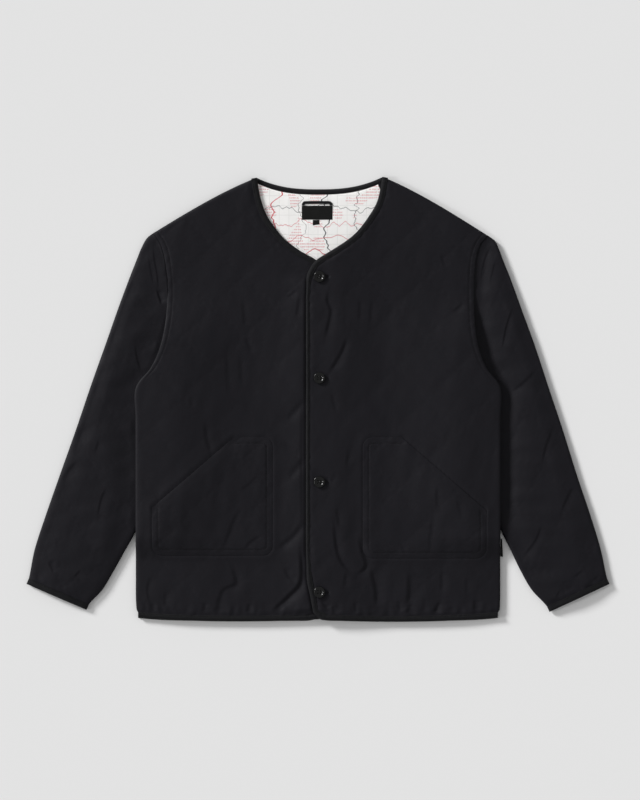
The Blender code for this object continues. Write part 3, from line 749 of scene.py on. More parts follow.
@dataclass(frozen=True)
class Layout:
    """Outlines and layers of the laid-out jacket, in millimetres."""

    wall: float = 3.5
    gap: float = 0.3
    puff: float = 2.0
    puff_rise: float = 80.0
    binding: float = 8.5
    side: float = 291.2
    lap: tuple[float, float] = (24.0, 95.0)
    lift: float = 8.5
    lift_run: float = 40.0
    lift_lead: float = 18.0
    drape_run: float = 150.0
    lift_floor: tuple[float, float] = (96.0, 138.0)
    lift_ceiling: tuple[float, float] = (445.0, 535.0)
    hem_sag: float = 4.5
    draw_in: float = 2.8
    shoulder_bow: float = 5.0
    neck_back: float = 691.4
    neck_flat: float = 2.6
    neck_rise: float = 560.0

    # rows of inner x, inner y, outer x, outer y, from the hem to the shoulder
    front_left: tuple = (
        (5.0, 3.0, 287.5, 6.0), (-7.7, 15.2, 290.4, 20.0),
        (-12.0, 36.0, 291.2, 40.0), (-19.2, 74.0, 291.2, 70.0),
        (-22.4, 114.0, 291.2, 96.0), (-22.4, 160.0, 291.2, 138.0), (-22.4, 230.0, 291.2, 200.0),
        (-22.4, 310.0, 291.2, 270.0), (-22.4, 380.0, 291.2, 325.0), (-22.4, 430.0, 291.2, 373.6),
        (-22.4, 476.0, 268.8, 405.6), (-22.4, 516.0, 256.8, 436.0), (-20.5, 545.0, 251.2, 468.0),
        (-14.0, 563.0, 249.6, 498.0), (-3.2, 577.6, 249.6, 530.0), (23.2, 594.4, 250.4, 556.0),
        (47.5, 610.4, 252.8, 580.0), (65.1, 626.4, 258.4, 600.0), (82.5, 650.0, 264.0, 609.0),
        (95.5, 674.4, 268.0, 613.0), (102.9, 711.0, 272.0, 616.8),
    )
    front_right: tuple = (
        (2.0, 4.0, -287.5, 6.0), (14.0, 14.0, -290.0, 20.0),
        (21.0, 28.0, -291.2, 40.0), (24.0, 56.0, -291.2, 70.0),
        (24.0, 104.0, -291.2, 96.0), (24.0, 160.0, -291.2, 138.0), (24.0, 230.0, -291.2, 200.0),
        (24.0, 310.0, -291.2, 270.0), (24.0, 380.0, -291.2, 325.0), (24.0, 430.0, -291.2, 373.6),
        (24.0, 476.0, -267.2, 405.6), (24.0, 514.0, -253.6, 434.4), (22.5, 541.0, -245.6, 466.4),
        (13.0, 563.0, -241.6, 500.0), (-3.4, 578.4, -240.8, 530.4), (-31.0, 594.4, -242.4, 554.4),
        (-51.8, 610.4, -246.4, 583.2), (-66.2, 626.4, -252.0, 602.4), (-82.0, 650.0, -257.6, 612.0),
        (-92.0, 678.0, -261.0, 617.0), (-97.6, 709.6, -264.0, 620.8),
    )
    # rows of inner fold x, y and outer fold x, y, from the armhole to the cuff
    sleeve_left: tuple = (
        (263.0, 360.0, 272.2, 617.0), (264.0, 336.0, 283.0, 608.6), (264.6, 312.0, 289.6, 595.0),
        (265.2, 288.0, 296.0, 578.0), (266.0, 264.0, 308.6, 546.4), (267.0, 240.0, 326.0, 498.4),
        (270.5, 210.0, 346.4, 442.4), (279.0, 174.0, 367.5, 378.4), (294.4, 141.6, 391.5, 306.4),
        (308.0, 114.4, 414.0, 234.4), (323.4, 82.4, 435.5, 170.4), (341.9, 50.4, 452.5, 114.4),
        (369.6, 16.8, 465.6, 61.6),
    )
    sleeve_right: tuple = (
        (-262.0, 360.0, -264.4, 621.0), (-263.0, 336.0, -274.4, 612.0), (-263.6, 312.0, -282.6, 597.0),
        (-264.2, 288.0, -289.4, 580.0), (-265.0, 264.0, -302.6, 546.4), (-266.0, 240.0, -320.4, 498.4),
        (-268.5, 210.0, -340.0, 442.4), (-276.5, 174.0, -362.8, 378.4), (-292.6, 141.6, -387.2, 306.4),
        (-308.0, 114.4, -412.8, 234.4), (-325.8, 82.4, -435.2, 170.4), (-345.0, 50.4, -453.4, 114.4),
        (-369.6, 20.0, -465.6, 61.6),
    )
    tuck_top: float = 434.0
    tuck_left: tuple = ((263.0, 360.0), (260.0, 402.0))
    tuck_right: tuple = ((-262.0, 360.0), (-258.0, 400.0))
    lining_rows: tuple = (
        (546.0, 32.0), (572.0, 46.0), (598.0, 66.0), (624.0, 86.0), (650.0, 98.0), (676.0, 104.0),
        (699.0, 96.0),
    )

    def front_rows(self, side: Side) -> Array:
        """A front's rows."""
        return np.array(self.front_left if side is Side.LEFT else self.front_right)

    def sleeve_rows(self, side: Side) -> Array:
        """A sleeve's rows."""
        return np.array(self.sleeve_left if side is Side.LEFT else self.sleeve_right)

    def body_half(self, x: Array, y: Array) -> Array:
        """Half width of the body at a height, on the side that x is on."""
        halves = []
        for side in Side:
            rows = self.front_rows(side)
            halves.append(np.interp(y, rows[:, 3], np.abs(rows[:, 2])))
        return np.where(x > 0, halves[0], halves[1])

    def raised(self, x: Array, y: Array, run: float | None = None) -> Array:
        """How far the body is lifted over the sleeve's tucked fold, easing out inwards over a run."""
        run = run or self.lift_run
        folds = []
        for side in Side:
            rows = self.sleeve_rows(side)
            folds.append(np.interp(-y, -rows[:, 1], np.abs(rows[:, 0])))
        fold = np.minimum(np.where(x > 0, folds[0], folds[1]), self.side)
        across = ease((np.abs(x) - (fold - self.lift_lead - run)) / run)
        up = ease((y - self.lift_floor[0]) / (self.lift_floor[1] - self.lift_floor[0]))
        down = ease((self.lift_ceiling[1] - y) / (self.lift_ceiling[1] - self.lift_ceiling[0]))
        return self.lift * across * up * down

    def free(self, x: Array, y: Array) -> Array:
        """0 where the body presses a sleeve flat and 1 where the sleeve is free."""
        sewn = ease((y - self.lift_ceiling[0]) / (self.lift_ceiling[1] - self.lift_ceiling[0]))
        beyond = np.abs(x) - self.body_half(x, y) - 8.0 * (1 - sewn)
        return ease((beyond + 45.0 * sewn) / 45.0)

    def air(self, x: Array) -> Array:
        """Air between the back and the fronts."""
        return self.gap + self.puff * ease((self.side - np.abs(x)) / self.puff_rise)

    def front_under(self, side: Side, x: Array, y: Array) -> Array:
        """Underside of a front; the left one climbs over the right one at the lap."""
        height = self.wall + self.air(x) + self.raised(x, y, self.drape_run)
        if side is Side.LEFT:
            edge, run = self.lap
            height = height + (self.wall + self.gap) * ease((edge + self.gap + run - x) / run)
        return height

    def drawn_in(self, y: Array) -> Array:
        """How far the left front's closing edge is drawn in, along its straight length."""
        return self.draw_in * ease((y - 60) / 40) * ease((560 - y) / 25)

    def closing_edge(self, y: Array) -> Array:
        """X of the left front's closing edge."""
        rows = self.front_rows(Side.LEFT)
        return np.interp(y, rows[:, 1], rows[:, 0]) + self.drawn_in(y)

    def covered(self, x: Array, y: Array) -> Array:
        """1 where the left front lies over the right one, and 0 where the right one shows."""
        return ease((x - self.closing_edge(y) - 1.0) / 5.0)

    def beside_edge(self, x: Array, y: Array) -> Array:
        """1 close beside the left front's closing edge, easing out over the right front, less at the edge."""
        away = np.maximum(self.closing_edge(y) - x, 0)
        return bell(away, 32.0) * (1 - 0.6 * bell(away, 1.6))

    def neck_line(self, x: Array) -> Array:
        """Height of the back neck's edge."""
        left, right = self.front_left[-1], self.front_right[-1]
        half = np.where(x > 0, left[0], -right[0])
        end = np.where(x > 0, left[1], right[1])
        return self.neck_back + (end - self.neck_back) * np.minimum(np.abs(x) / half, 1.0) ** self.neck_flat

    def shoulder_line(self, side: Side, x: Array) -> Array:
        """Height of the shoulder line."""
        neck_x, neck_y, tip_x, tip_y = self.front_rows(side)[-1]
        along = np.clip((x - neck_x) / (tip_x - neck_x), 0, 1)
        return neck_y + (tip_y - neck_y) * along + self.shoulder_bow * np.sin(math.pi * along**0.8)


LAYOUT = Layout()
POCKET_ROUND = 16.0
CORNER_POINTS = 9
MOUTH = slice(2 * CORNER_POINTS, 2 * CORNER_POINTS + 2)

# each pocket's inner and outer edge, bottom, top, where its slant starts along the top, and the slant's foot
POCKETS = {
    Side.LEFT: (71.5, 268.5, 101.6, 295.0, 133.1, 178.0),
    Side.RIGHT: (72.6, 265.1, 106.0, 295.0, 133.8, 182.0),
}


def pocket_outline(size: tuple[float, float, float, float, float, float]) -> Array:
    """A pocket's outline, counter-clockwise, as distances from the centre line and heights.

    Args:
        size: the pocket's sizes.

    Returns:
        Its points: two rounded corners, the slant, and the third rounded corner.
    """
    inner, outer, bottom, top, slant_inner, slant_foot = size
    r = POCKET_ROUND
    points = []
    for x, y, start, end in ((inner + r, bottom + r, 180, 270), (outer - r, bottom + r, 270, 360)):
        turn = np.radians(np.linspace(start, end, CORNER_POINTS))
        points.append(np.stack([x + r * np.cos(turn), y + r * np.sin(turn)], 1))
    points.append(np.array([[outer, slant_foot], [slant_inner, top]]))
    turn = np.radians(np.linspace(90, 180, CORNER_POINTS))
    points.append(np.stack([inner + r + r * np.cos(turn), top - r + r * np.sin(turn)], 1))
    return np.concatenate(points)


@dataclass
class Spread:
    """A drafted grid of cloth with what lies round each of its points, in millimetres."""

    x: Array
    y: Array
    from_bound: Array
    from_side: Array
    from_hem: Array
    from_top: Array
    bound_path: Array
    edge_path: Array


def front_spread(side: Side, rows: int, columns: int) -> Spread:
    """Drafts a front's cloth.

    Args:
        side: which front.
        rows: points from hem to shoulder.
        columns: points from the closing edge to the side.

    Returns:
        The grid, with its distances.
    """
    table = LAYOUT.front_rows(side)
    sign = side.value
    v = np.linspace(0, 1, rows)
    inner, outer = edge_of(table, 0, v), edge_of(table, 2, v)
    normal = inward(inner, sign)
    mitre = bell(lengths(inner), 9.0)[:, None]
    bound = inner + (normal * (1 - mitre) + np.array([sign, 1.0]) * mitre) * LAYOUT.binding
    u = crowded(columns, 0.35)
    width = np.linalg.norm(outer - bound, axis=1)[:, None]
    x = bound[:, :1] + (outer - bound)[:, :1] * u
    y = bound[:, 1:] + (outer - bound)[:, 1:] * u
    share = (x - inner[0, 0]) / (outer[0, 0] - inner[0, 0])
    hem = inner[0, 1] + (outer[0, 1] - inner[0, 1]) * share - LAYOUT.hem_sag * 4 * share * (1 - share)
    last = len(table) - 1
    foot = np.clip(1 - v * last, 0, 1)[:, None]
    y = y + (hem[:1] + LAYOUT.binding - y[:1]) * foot
    crown = np.clip(v * last - (last - 1), 0, 1)[:, None]
    y = y + (LAYOUT.shoulder_line(side, x[-1:]) - y[-1:]) * crown
    shoulder = LAYOUT.shoulder_line(side, x)
    from_hem = y - hem - LAYOUT.binding
    return Spread(x, y, width * u, width * (1 - u), from_hem, (shoulder - y) * 0.87, bound, inner)


@dataclass(frozen=True)
class Cloth:
    """How the quilted cloth of the body lies: its quilting, creases and unevenness."""

    quilting: Quilting
    creases: dict[Side, tuple[Crease, ...]]
    swell: float = 3.9
    held: float = 17.0
    pressed: float = 0.9
    hole_out: float = 12.5
    hole_half: float = 3.2
    hole_width: float = 1.7
    hole_depth: float = 2.0

    def relief(self, side: Side, x: Array, y: Array) -> Array:
        """Height of the cloth's outer face over its plain form, away from any edge."""
        height = self.quilting.relief(x, y)
        height += 0.16 * ripple(x, y, 26.0, 3) + 0.4 * ripple(x, y, 95.0, 4)
        for number in range(1, 5):
            low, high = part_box(f"button_{number}")
            middle = (low + high) / 2 / MM
            dx, dy = x - middle.x, y - middle.y - LENGTH / 2
            hold = bell(np.hypot(dx, dy), self.held)
            height = height * (1 - hold) - self.pressed * hold
            across = np.abs(dx - self.hole_out) / self.hole_half
            height -= self.hole_depth * np.exp(-(across**4) - (dy / self.hole_width) ** 2)
        for crease in self.creases[side]:
            height += crease.relief(x, y)
        return height

    def front_top(self, side: Side, x: Array, y: Array) -> Array:
        """Height of a front's outer face, away from its edges."""
        relief = self.relief(side, x, y)
        if side is Side.RIGHT:
            covered = LAYOUT.covered(x, y)
            swell = self.swell * LAYOUT.beside_edge(x, y) * ease((560 - y) / 25)
            relief = (relief + swell) * (1 - covered) - 0.3 * covered
        return LAYOUT.front_under(side, x, y) + LAYOUT.wall + relief


BODY_CREASES = {
    Side.RIGHT: (
        Crease(1.4, 3.6, ((-22, 354), (-35, 340), (-51, 322))),
        Crease(1.3, 3.4, ((-54, 287), (-35, 271), (-22, 263))),
        Crease(1.3, 3.4, ((-22, 263), (-32, 249), (-48, 230))),
        Crease(1.7, 3.8, ((-22, 159), (-42, 135), (-67, 116))),
        Crease(1.1, 3.4, ((-54, 86), (-46, 71), (-34, 63))),
        Crease(2.4, 4.6, ((-27, 121), (-27, 65), (-48, 39), (-74, 15))),
        Crease(0.9, 2.6, ((-25, 362), (-26, 258), (-25, 130))),
        Crease(0.7, 3.2, ((-120, 514), (-117, 471))),
        Crease(0.8, 3.2, ((-115, 454), (-107, 428))),
        Crease(0.6, 3.6, ((-146, 434), (-143, 361))),
        Crease(0.6, 3.0, ((-125, 423), (-122, 380))),
        Crease(0.7, 3.0, ((-203, 359), (-202, 342))),
        Crease(1.2, 3.2, ((-179, 319), (-178, 294), (-170, 266))),
        Crease(1.3, 3.6, ((-139, 94), (-131, 62), (-152, 49), (-162, 15))),
        Crease(0.7, 3.0, ((-48, 518), (-35, 529))),
        Crease(0.8, 3.2, ((-29, 521), (-34, 486))),
        Crease(0.8, 3.0, ((-181, 31), (-184, 14))),
        Crease(0.9, 3.0, ((-109, 30), (-114, 14))),
        Crease(0.7, 3.6, ((-266, 74), (-272, 50), (-266, 25))),
        Crease(0.7, 3.2, ((-243, 50), (-245, 22))),
    ),
    Side.LEFT: (
        Crease(1.3, 4.2, ((17, 530), (16, 512), (21, 497), (19, 483), (11, 450))),
        Crease(0.7, 3.2, ((67, 514), (66, 479))),
        Crease(0.6, 3.0, ((86, 514), (83, 474))),
        Crease(1.5, 3.2, ((47, 455), (38, 432), (28, 414), (17, 397))),
        Crease(0.9, 3.0, ((21, 362), (29, 337))),
        Crease(0.9, 3.2, ((50, 274), (46, 250))),
        Crease(0.8, 3.0, ((30, 236), (18, 222))),
        Crease(0.9, 3.0, ((29, 182), (35, 150))),
        Crease(1.6, 3.6, ((26, 162), (29, 122), (38, 95), (58, 74))),
        Crease(1.7, 3.6, ((61, 73), (77, 90), (70, 114), (66, 137))),
        Crease(0.9, 3.0, ((45, 79), (42, 54))),
        Crease(1.8, 5.0, ((85, 86), (93, 50), (93, 23))),
        Crease(1.6, 6.0, ((147, 79), (147, 50), (144, 23))),
        Crease(0.9, 3.0, ((198, 82), (197, 47))),
        Crease(1.0, 3.0, ((5, 34), (16, 20))),
        Crease(0.9, 3.0, ((24, 26), (26, 10))),
        Crease(1.0, 3.0, ((59, 33), (61, 12))),
        Crease(0.9, 2.8, ((128, 34), (131, 14))),
        Crease(1.0, 2.8, ((149, 30), (141, 12))),
        Crease(1.3, 3.0, ((194, 33), (186, 14))),
        Crease(0.9, 4.0, ((251, 36), (250, 18))),
        Crease(0.6, 3.0, ((170, 38), (168, 15))),
        Crease(0.6, 3.6, ((237, 70), (238, 44))),
        Crease(0.6, 3.4, ((197, 586), (203, 566))),
        Crease(0.7, 3.2, ((216, 495), (232, 508))),
    ),
}

POCKET_CREASES = {
    Side.RIGHT: (
        Crease(1.1, 3.4, ((-157, 110), (-146, 130), (-134, 162), (-120, 182))),
        Crease(1.2, 3.4, ((-117, 113), (-109, 126), (-90, 138))),
        Crease(0.8, 4.0, ((-96, 234), (-109, 220), (-125, 210))),
    ),
    Side.LEFT: (
        Crease(1.1, 3.0, ((190, 215), (190, 182))),
        Crease(1.0, 3.4, ((184, 174), (179, 130), (179, 105))),
        Crease(0.8, 3.0, ((222, 194), (229, 166))),
        Crease(0.7, 3.0, ((133, 122), (139, 105))),
    ),
}

SLEEVE_CREASES = {
    Side.RIGHT: (
        Crease(0.7, 3.4, ((-262, 602), (-261, 582), (-256, 554), (-254, 530))),
        Crease(1.5, 3.4, ((-257, 530), (-253, 519), (-249, 508))),
        Crease(0.5, 3.6, ((-270, 582), (-266, 559), (-262, 540))),
        Crease(0.8, 4.4, ((-291, 442), (-288, 422), (-282, 402))),
        Crease(0.8, 4.0, ((-384, 255), (-397, 242), (-410, 223))),
        Crease(0.6, 3.8, ((-349, 290), (-355, 271))),
        Crease(0.7, 3.6, ((-389, 71), (-378, 82))),
        Crease(0.7, 3.6, ((-430, 96), (-421, 78))),
        Crease(0.8, 4.0, ((-336, 215), (-345, 196), (-351, 168))),
    ),
    Side.LEFT: (
        Crease(0.7, 4.2, ((276, 598), (269, 582), (265, 566), (262, 546))),
        Crease(0.5, 3.6, ((284, 575), (280, 559), (276, 543))),
        Crease(0.8, 3.2, ((313, 504), (302, 472), (295, 436))),
        Crease(0.8, 3.2, ((348, 401), (330, 383), (309, 367))),
        Crease(0.8, 3.2, ((377, 312), (365, 280), (359, 253))),
        Crease(0.8, 3.0, ((409, 216), (399, 198), (389, 175))),
        Crease(0.8, 3.4, ((358, 154), (348, 129), (329, 103))),
        Crease(0.7, 3.6, ((411, 71), (424, 82))),
        Crease(0.7, 3.6, ((435, 62), (451, 74))),
        Crease(0.6, 3.4, ((387, 50), (381, 38))),
    ),
}


def fitted(piece: bpy.types.Object, node: str) -> bpy.types.Object:
    """Puts a piece in the place of a solid.

    Args:
        piece: the piece.
        node: the solid that it stands for.

    Returns:
        The piece.
    """
    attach(piece, BODY)
    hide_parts(node)
    return piece


def layered(x: Array, y: Array, z: Array) -> Array:
    """X, Y and Z as one array of drafted points."""
    return np.stack([x, y, np.broadcast_to(z, x.shape)], -1)


@dataclass(frozen=True)
class Band:
    """Folded bias binding between an outer and an inner path of drafted points."""

    height: float = 3.8
    sewn: float = 0.79
    overlap: float = 0.7
    pucker: float = 0.16
    profile: tuple[tuple[float, float], ...] = (
        (1.0, 0.0), (0.55, 0.0), (0.16, 0.0), (0.045, 0.1), (0.0, 0.36), (0.06, 0.62), (0.19, 0.85),
        (0.35, 0.99), (0.5, 1.04), (0.62, 1.02), (0.72, 0.98), (0.79, 0.9), (0.86, 0.96), (0.94, 0.95),
        (1.0, 0.84),
    )

    def wrap(
        self, outer: Array, inner: Array, under: Under, flatter: Under | None = None
    ) -> bmesh.types.BMesh:
        """Makes the binding.

        Args:
            outer: its folded edge.
            inner: its sewn edge, on the cloth.
            under: height of its underside.
            flatter: share of its height that is lost at a place, where it is covered.

        Returns:
            A capped tube.
        """
        across, up = np.array(self.profile).T
        x = outer[:, :1] + (inner - outer)[:, :1] * across
        y = outer[:, 1:] + (inner - outer)[:, 1:] * across
        height = self.height * up + self.pucker * ripple(x, y, 7.0, 21) * ease(3 * up - 1.6)
        if flatter is not None:
            height = height * (1 - flatter(x, y))
        middle = (outer + inner) / 2
        floor = under(middle[:, :1], middle[:, 1:])
        return tube(layered(x, y, floor + height))

    def seam(self, outer: Array, inner: Array, under: Under) -> Array:
        """The line that its stitches lie on, as drafted 3D points."""
        line = outer + (inner - outer) * self.sewn
        middle = (outer + inner) / 2
        return layered(line[:, 0], line[:, 1], under(middle[:, 0], middle[:, 1]) + 0.9 * self.height)


@dataclass
class Stitching:
    """Sewn thread: short spindles laid along seams and joined in one piece."""

    pitch: float = 3.1
    length: float = 2.3
    thick: float = 0.54
    bar: tuple[float, float, float] = (1.5, 0.8, 0.95)

    def __post_init__(self) -> None:
        """Starts with no stitch."""
        self.places: list[Matrix] = []

    def spindle(self, centre: Array, run: Array, length: float, thick: float) -> None:
        """Lays one stitch."""
        turn = Vector(run).to_track_quat("X", "Z").to_matrix().to_4x4()
        size = Matrix.Diagonal((length / 2 * MM, thick / 2 * MM, thick / 2 * MM, 1.0))
        spot = Matrix.Translation(Vector((centre[0], centre[1] - LENGTH / 2, centre[2])) * MM)
        self.places.append(spot @ turn @ size)

    def sew(self, line: Array) -> None:
        """Lays stitches along a line of drafted 3D points."""
        middles = np.arange(self.pitch / 2, lengths(line)[-1], self.pitch)
        for near, far in zip(read_path(line, middles - 0.5), read_path(line, middles + 0.5)):
            self.spindle((near + far) / 2, far - near, self.length, self.thick)

    def buttonhole(self, near: float, far: float, height: float, level: float) -> None:
        """Bars of thread round the end of a buttonhole that shows beside its button."""
        long, thick, half = self.bar
        for x in np.arange(near, far, 0.75):
            for side in (-1, 1):
                spot = np.array([x, height + half * side, level])
                self.spindle(spot, np.array([0.1, 1.0, 0.0]), long, thick)
        for angle in np.radians(np.linspace(-70, 70, 5)):
            out = np.array([math.cos(angle), math.sin(angle), 0.0])
            self.spindle(np.array([far, height, level]) + out * half, out, long, thick)

    def gather(self, name: str, material: bpy.types.Material) -> bpy.types.Object:
        """Joins the stitches in one piece."""
        one = bmesh.new()
        bmesh.ops.create_uvsphere(one, u_segments=6, v_segments=4, radius=1.0)
        corners = np.array([vertex.co for vertex in one.verts])
        faces = [[vertex.index for vertex in face.verts] for face in one.faces]
        one.free()
        spots = np.array(self.places)
        points = np.einsum("nij,kj->nki", spots[:, :3, :3], corners) + spots[:, None, :3, 3]
        joined = [[k * len(corners) + v for v in face] for k in range(len(spots)) for face in faces]
        mesh = bpy.data.meshes.new(name)
        mesh.from_pydata(points.reshape(-1, 3).tolist(), [], joined)
        mesh.shade_smooth()
        mesh.materials.append(material)
        piece = bpy.data.objects.new(name, mesh)
        bpy.context.scene.collection.objects.link(piece)
        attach(piece, BODY)
        log.info("%s: %d stitches", name, len(spots))
        return piece


@dataclass
class Front:
    """A front of quilted cloth, with its bound edge and hem."""

    side: Side
    cloth: Cloth
    wardrobe: Wardrobe
    stitching: Stitching
    rows: int = 300
    columns: int = 128
    band: Band = Band()
    seam: float = 8.5
    flattened: float = 0.16

    def under(self, x: Array, y: Array) -> Array:
        """Its underside."""
        return LAYOUT.front_under(self.side, x, y)

    def flatter(self, x: Array, y: Array) -> Array:
        """How much of the right front's binding is pressed away by the left front over it."""
        return self.flattened * LAYOUT.covered(x, y) if self.side is Side.RIGHT else np.zeros(np.shape(x))

    def top(self, spread: Spread) -> Array:
        """Height of its outer face, edges and seams with it."""
        x, y = spread.x, spread.y
        plain = self.under(x, y) + LAYOUT.wall
        relief = self.cloth.front_top(self.side, x, y) - plain
        relief += self.round_pocket(x, y)
        bound, hem, side = spread.from_bound, spread.from_hem, spread.from_side
        sign = self.side.value
        edges = ease(side / 13) * ease(spread.from_top / 13)
        height = plain + relief * edges * (0.3 + 0.7 * ease(bound / 11)) * (0.3 + 0.7 * ease(hem / 11))
        armhole = ease((y - 380) / 20)
        reach, fall = (6.0, 1.3) if self.side is Side.LEFT else (8.0, 1.9)
        height -= roll(side, reach, fall) * (1 - 0.35 * armhole) + roll(spread.from_top, 5.0, 2.4)
        height -= 0.45 * (bell(bound, 3.5) + bell(hem, 3.5))
        height -= armhole * 0.5 * bell(side - self.seam, 1.3)
        height += 0.5 * ripple(x, y * 0.3, 14.0, 9 + sign) * bell(hem - 9, 9.0)
        pulls = 0.35 * ripple(x, y, 11.0, 5 + sign)
        near_seam = np.exp(-bound / 9) + np.exp(-hem / 9) + armhole * np.exp(-side / 10)
        height += pulls * np.minimum(near_seam, 1.0) * ease(side / 3)
        return np.maximum(height, self.under(x, y) + 0.35)

    def round_pocket(self, x: Array, y: Array) -> Array:
        """Swell of the cloth outside its pocket, with a crevice at its edge, deeper at the mouth."""
        near = (np.abs(x) > 50) & (np.abs(x) < 288) & (y > 80) & (y < 318)
        swell = np.zeros(x.shape)
        outline = pocket_outline(POCKETS[self.side])
        spot = np.abs(x[near]), y[near]
        away = to_path(*spot, np.concatenate([outline, outline[:1]]))[0]
        outside = np.maximum(-away, 0)
        swell[near] = np.where(away > 0.5, 0, 0.95 * bell(outside, 9.0) - 0.8 * bell(outside, 1.0))
        swell[near] -= 1.3 * bell(to_path(*spot, outline[MOUTH])[2], 2.2)
        return swell

    def build(self) -> bpy.types.Object:
        spread = front_spread(self.side, self.rows, self.columns)
        x, y = spread.x, spread.y
        word = self.side.word
        work = shell(layered(x, y, self.under(x, y)), layered(x, y, self.top(spread)))
        piece = fitted(finish(work, f"quilted_front_{word}", self.wardrobe.nylon), f"front_{word}")
        bindings = [self.bind_edge(spread), self.bind_hem(spread)]
        self.sew_armhole(spread)
        return piece

    def bind_edge(self, spread: Spread) -> bpy.types.Object:
        """Binds the closing edge and the neck."""
        outer, inner = spread.edge_path.copy(), spread.bound_path.copy()
        inner = outer + (inner - outer) * (1 + self.band.overlap / LAYOUT.binding)
        for path in (outer, inner):
            path[0, 1] += LAYOUT.gap
        if self.side is Side.LEFT:
            outer[:, 0] += LAYOUT.drawn_in(outer[:, 1])
        work = self.band.wrap(outer, inner, self.under, self.flatter)
        self.stitching.sew(self.band.seam(outer, inner, self.under)[3:])
        word = self.side.word
        piece = finish(work, f"bound_edge_{word}", self.wardrobe.tape)
        return fitted(piece, f"binding_front_{word}")

    def bind_hem(self, spread: Spread) -> bpy.types.Object:
        """Binds the hem."""
        inner = np.stack([spread.x[0], spread.y[0] + self.band.overlap], 1)
        outer = inner - np.array([0.0, LAYOUT.binding + self.band.overlap])
        outer[0] = spread.edge_path[0]
        for path in (outer, inner):
            path[0, 0] += self.side.value * LAYOUT.gap
        inner, outer = evenly(inner, 130), evenly(outer, 130)
        work = self.band.wrap(outer, inner, self.under, self.flatter)
        self.stitching.sew(self.band.seam(outer, inner, self.under)[3:])
        word = self.side.word
        return fitted(finish(work, f"bound_hem_{word}", self.wardrobe.tape), f"binding_hem_{word}")

    def sew_armhole(self, spread: Spread) -> None:
        """Topstitches the cloth beside the armhole."""
        rows = [r for r in range(0, self.rows, 2) if 395 < spread.y[r, -1] < 612]
        x, y = (
            np.array([np.interp(self.seam, spread.from_side[r][::-1], grid[r][::-1]) for r in rows])
            for grid in (spread.x, spread.y)
        )
        self.stitching.sew(layered(x, y, self.cloth.front_top(self.side, x, y) - 0.45))


@dataclass
class Back:
    """The back, one piece from hem to shoulders, with its hem and neck bound."""

    wardrobe: Wardrobe
    stitching: Stitching
    rows: int = 230
    columns: int = 190
    band: Band = Band(height=3.55)

    def spread(self) -> tuple[Array, Array]:
        """X and Y of its points."""
        v = np.linspace(0, 1, self.rows)
        right, left = (edge_of(LAYOUT.front_rows(side), 2, v) for side in (Side.RIGHT, Side.LEFT))
        u = crowded(self.columns, 0.25)
        x = right[:, :1] + (left - right)[:, :1] * u
        chord = right[:, 1:] + (left - right)[:, 1:] * u
        at_top = x[-1]
        neck = (at_top > LAYOUT.front_right[-1][0]) & (at_top < LAYOUT.front_left[-1][0])
        shoulders = np.where(
            at_top > 0, LAYOUT.shoulder_line(Side.LEFT, at_top), LAYOUT.shoulder_line(Side.RIGHT, at_top)
        )
        top = np.where(neck, LAYOUT.neck_line(at_top) - LAYOUT.binding, shoulders)
        rise = ease((chord - LAYOUT.neck_rise) / (chord[-1:] - LAYOUT.neck_rise)) ** 1.5
        y = chord + (top[None] - chord[-1:]) * rise
        half = np.abs(x[0]) / 289.0
        hem = 1.0 + LAYOUT.binding + 5.0 * half**8 + 3.0 * bell(x[0], 11.0)
        foot = np.clip(1 - v * 20, 0, 1)[:, None]
        return x, y + (hem[None] - y[:1]) * foot

    def under(self, x: Array, y: Array) -> Array:
        """Its plain underside."""
        return LAYOUT.raised(x, y)

    def build(self) -> bpy.types.Object:
        x, y = self.spread()
        from_side = np.minimum(np.hypot(x - x[:, :1], y - y[:, :1]), np.hypot(x - x[:, -1:], y - y[:, -1:]))
        from_end = np.minimum(y - y[:1], y[-1:] - y)
        edge = ease(from_side / 12) * ease(from_end / 12)
        low = self.under(x, y)
        quilted = Quilting().relief(x, y)
        sewn = (quilted.max() - quilted) * edge * 0.8
        relief = 0.25 * ripple(x, y, 40.0, 31) + 0.12 * ripple(x, y, 12.0, 32)
        for crease in BODY_CREASES[Side.LEFT] + BODY_CREASES[Side.RIGHT]:
            relief -= 0.8 * crease.relief(-x, y)
        bottom = low + sewn + np.maximum(relief * edge, 0)
        bottom = bottom + roll(from_side, 5.0, 1.6) + roll(from_end, 4.0, 1.2)
        work = shell(layered(x, y, bottom), layered(x, y, np.maximum(low + LAYOUT.wall, bottom + 0.4)))
        piece = fitted(finish(work, "quilted_back", self.wardrobe.nylon), "back")
        hem_inner = np.stack([x[0], y[0] - LAYOUT.gap], 1)
        hem_outer = hem_inner - np.array([0.0, LAYOUT.binding - LAYOUT.gap])
        bindings = [self.bind("hem_back", hem_outer, hem_inner)]
        ends = LAYOUT.front_right[-1][0] - 2.5, LAYOUT.front_left[-1][0] + 2.5
        across = np.linspace(*ends, 90)
        outer = np.stack([across, LAYOUT.neck_line(across)], 1)
        inner = outer - np.array([0.0, LAYOUT.binding + self.band.overlap])
        bindings.append(self.bind("neck_back", outer, inner))
        return piece

    def bind(self, edge: str, outer: Array, inner: Array) -> bpy.types.Object:
        """Binds an edge."""
        work = self.band.wrap(outer, inner, self.under)
        self.stitching.sew(self.band.seam(outer, inner, self.under))
        return fitted(finish(work, f"bound_{edge}", self.wardrobe.tape), f"binding_{edge}")


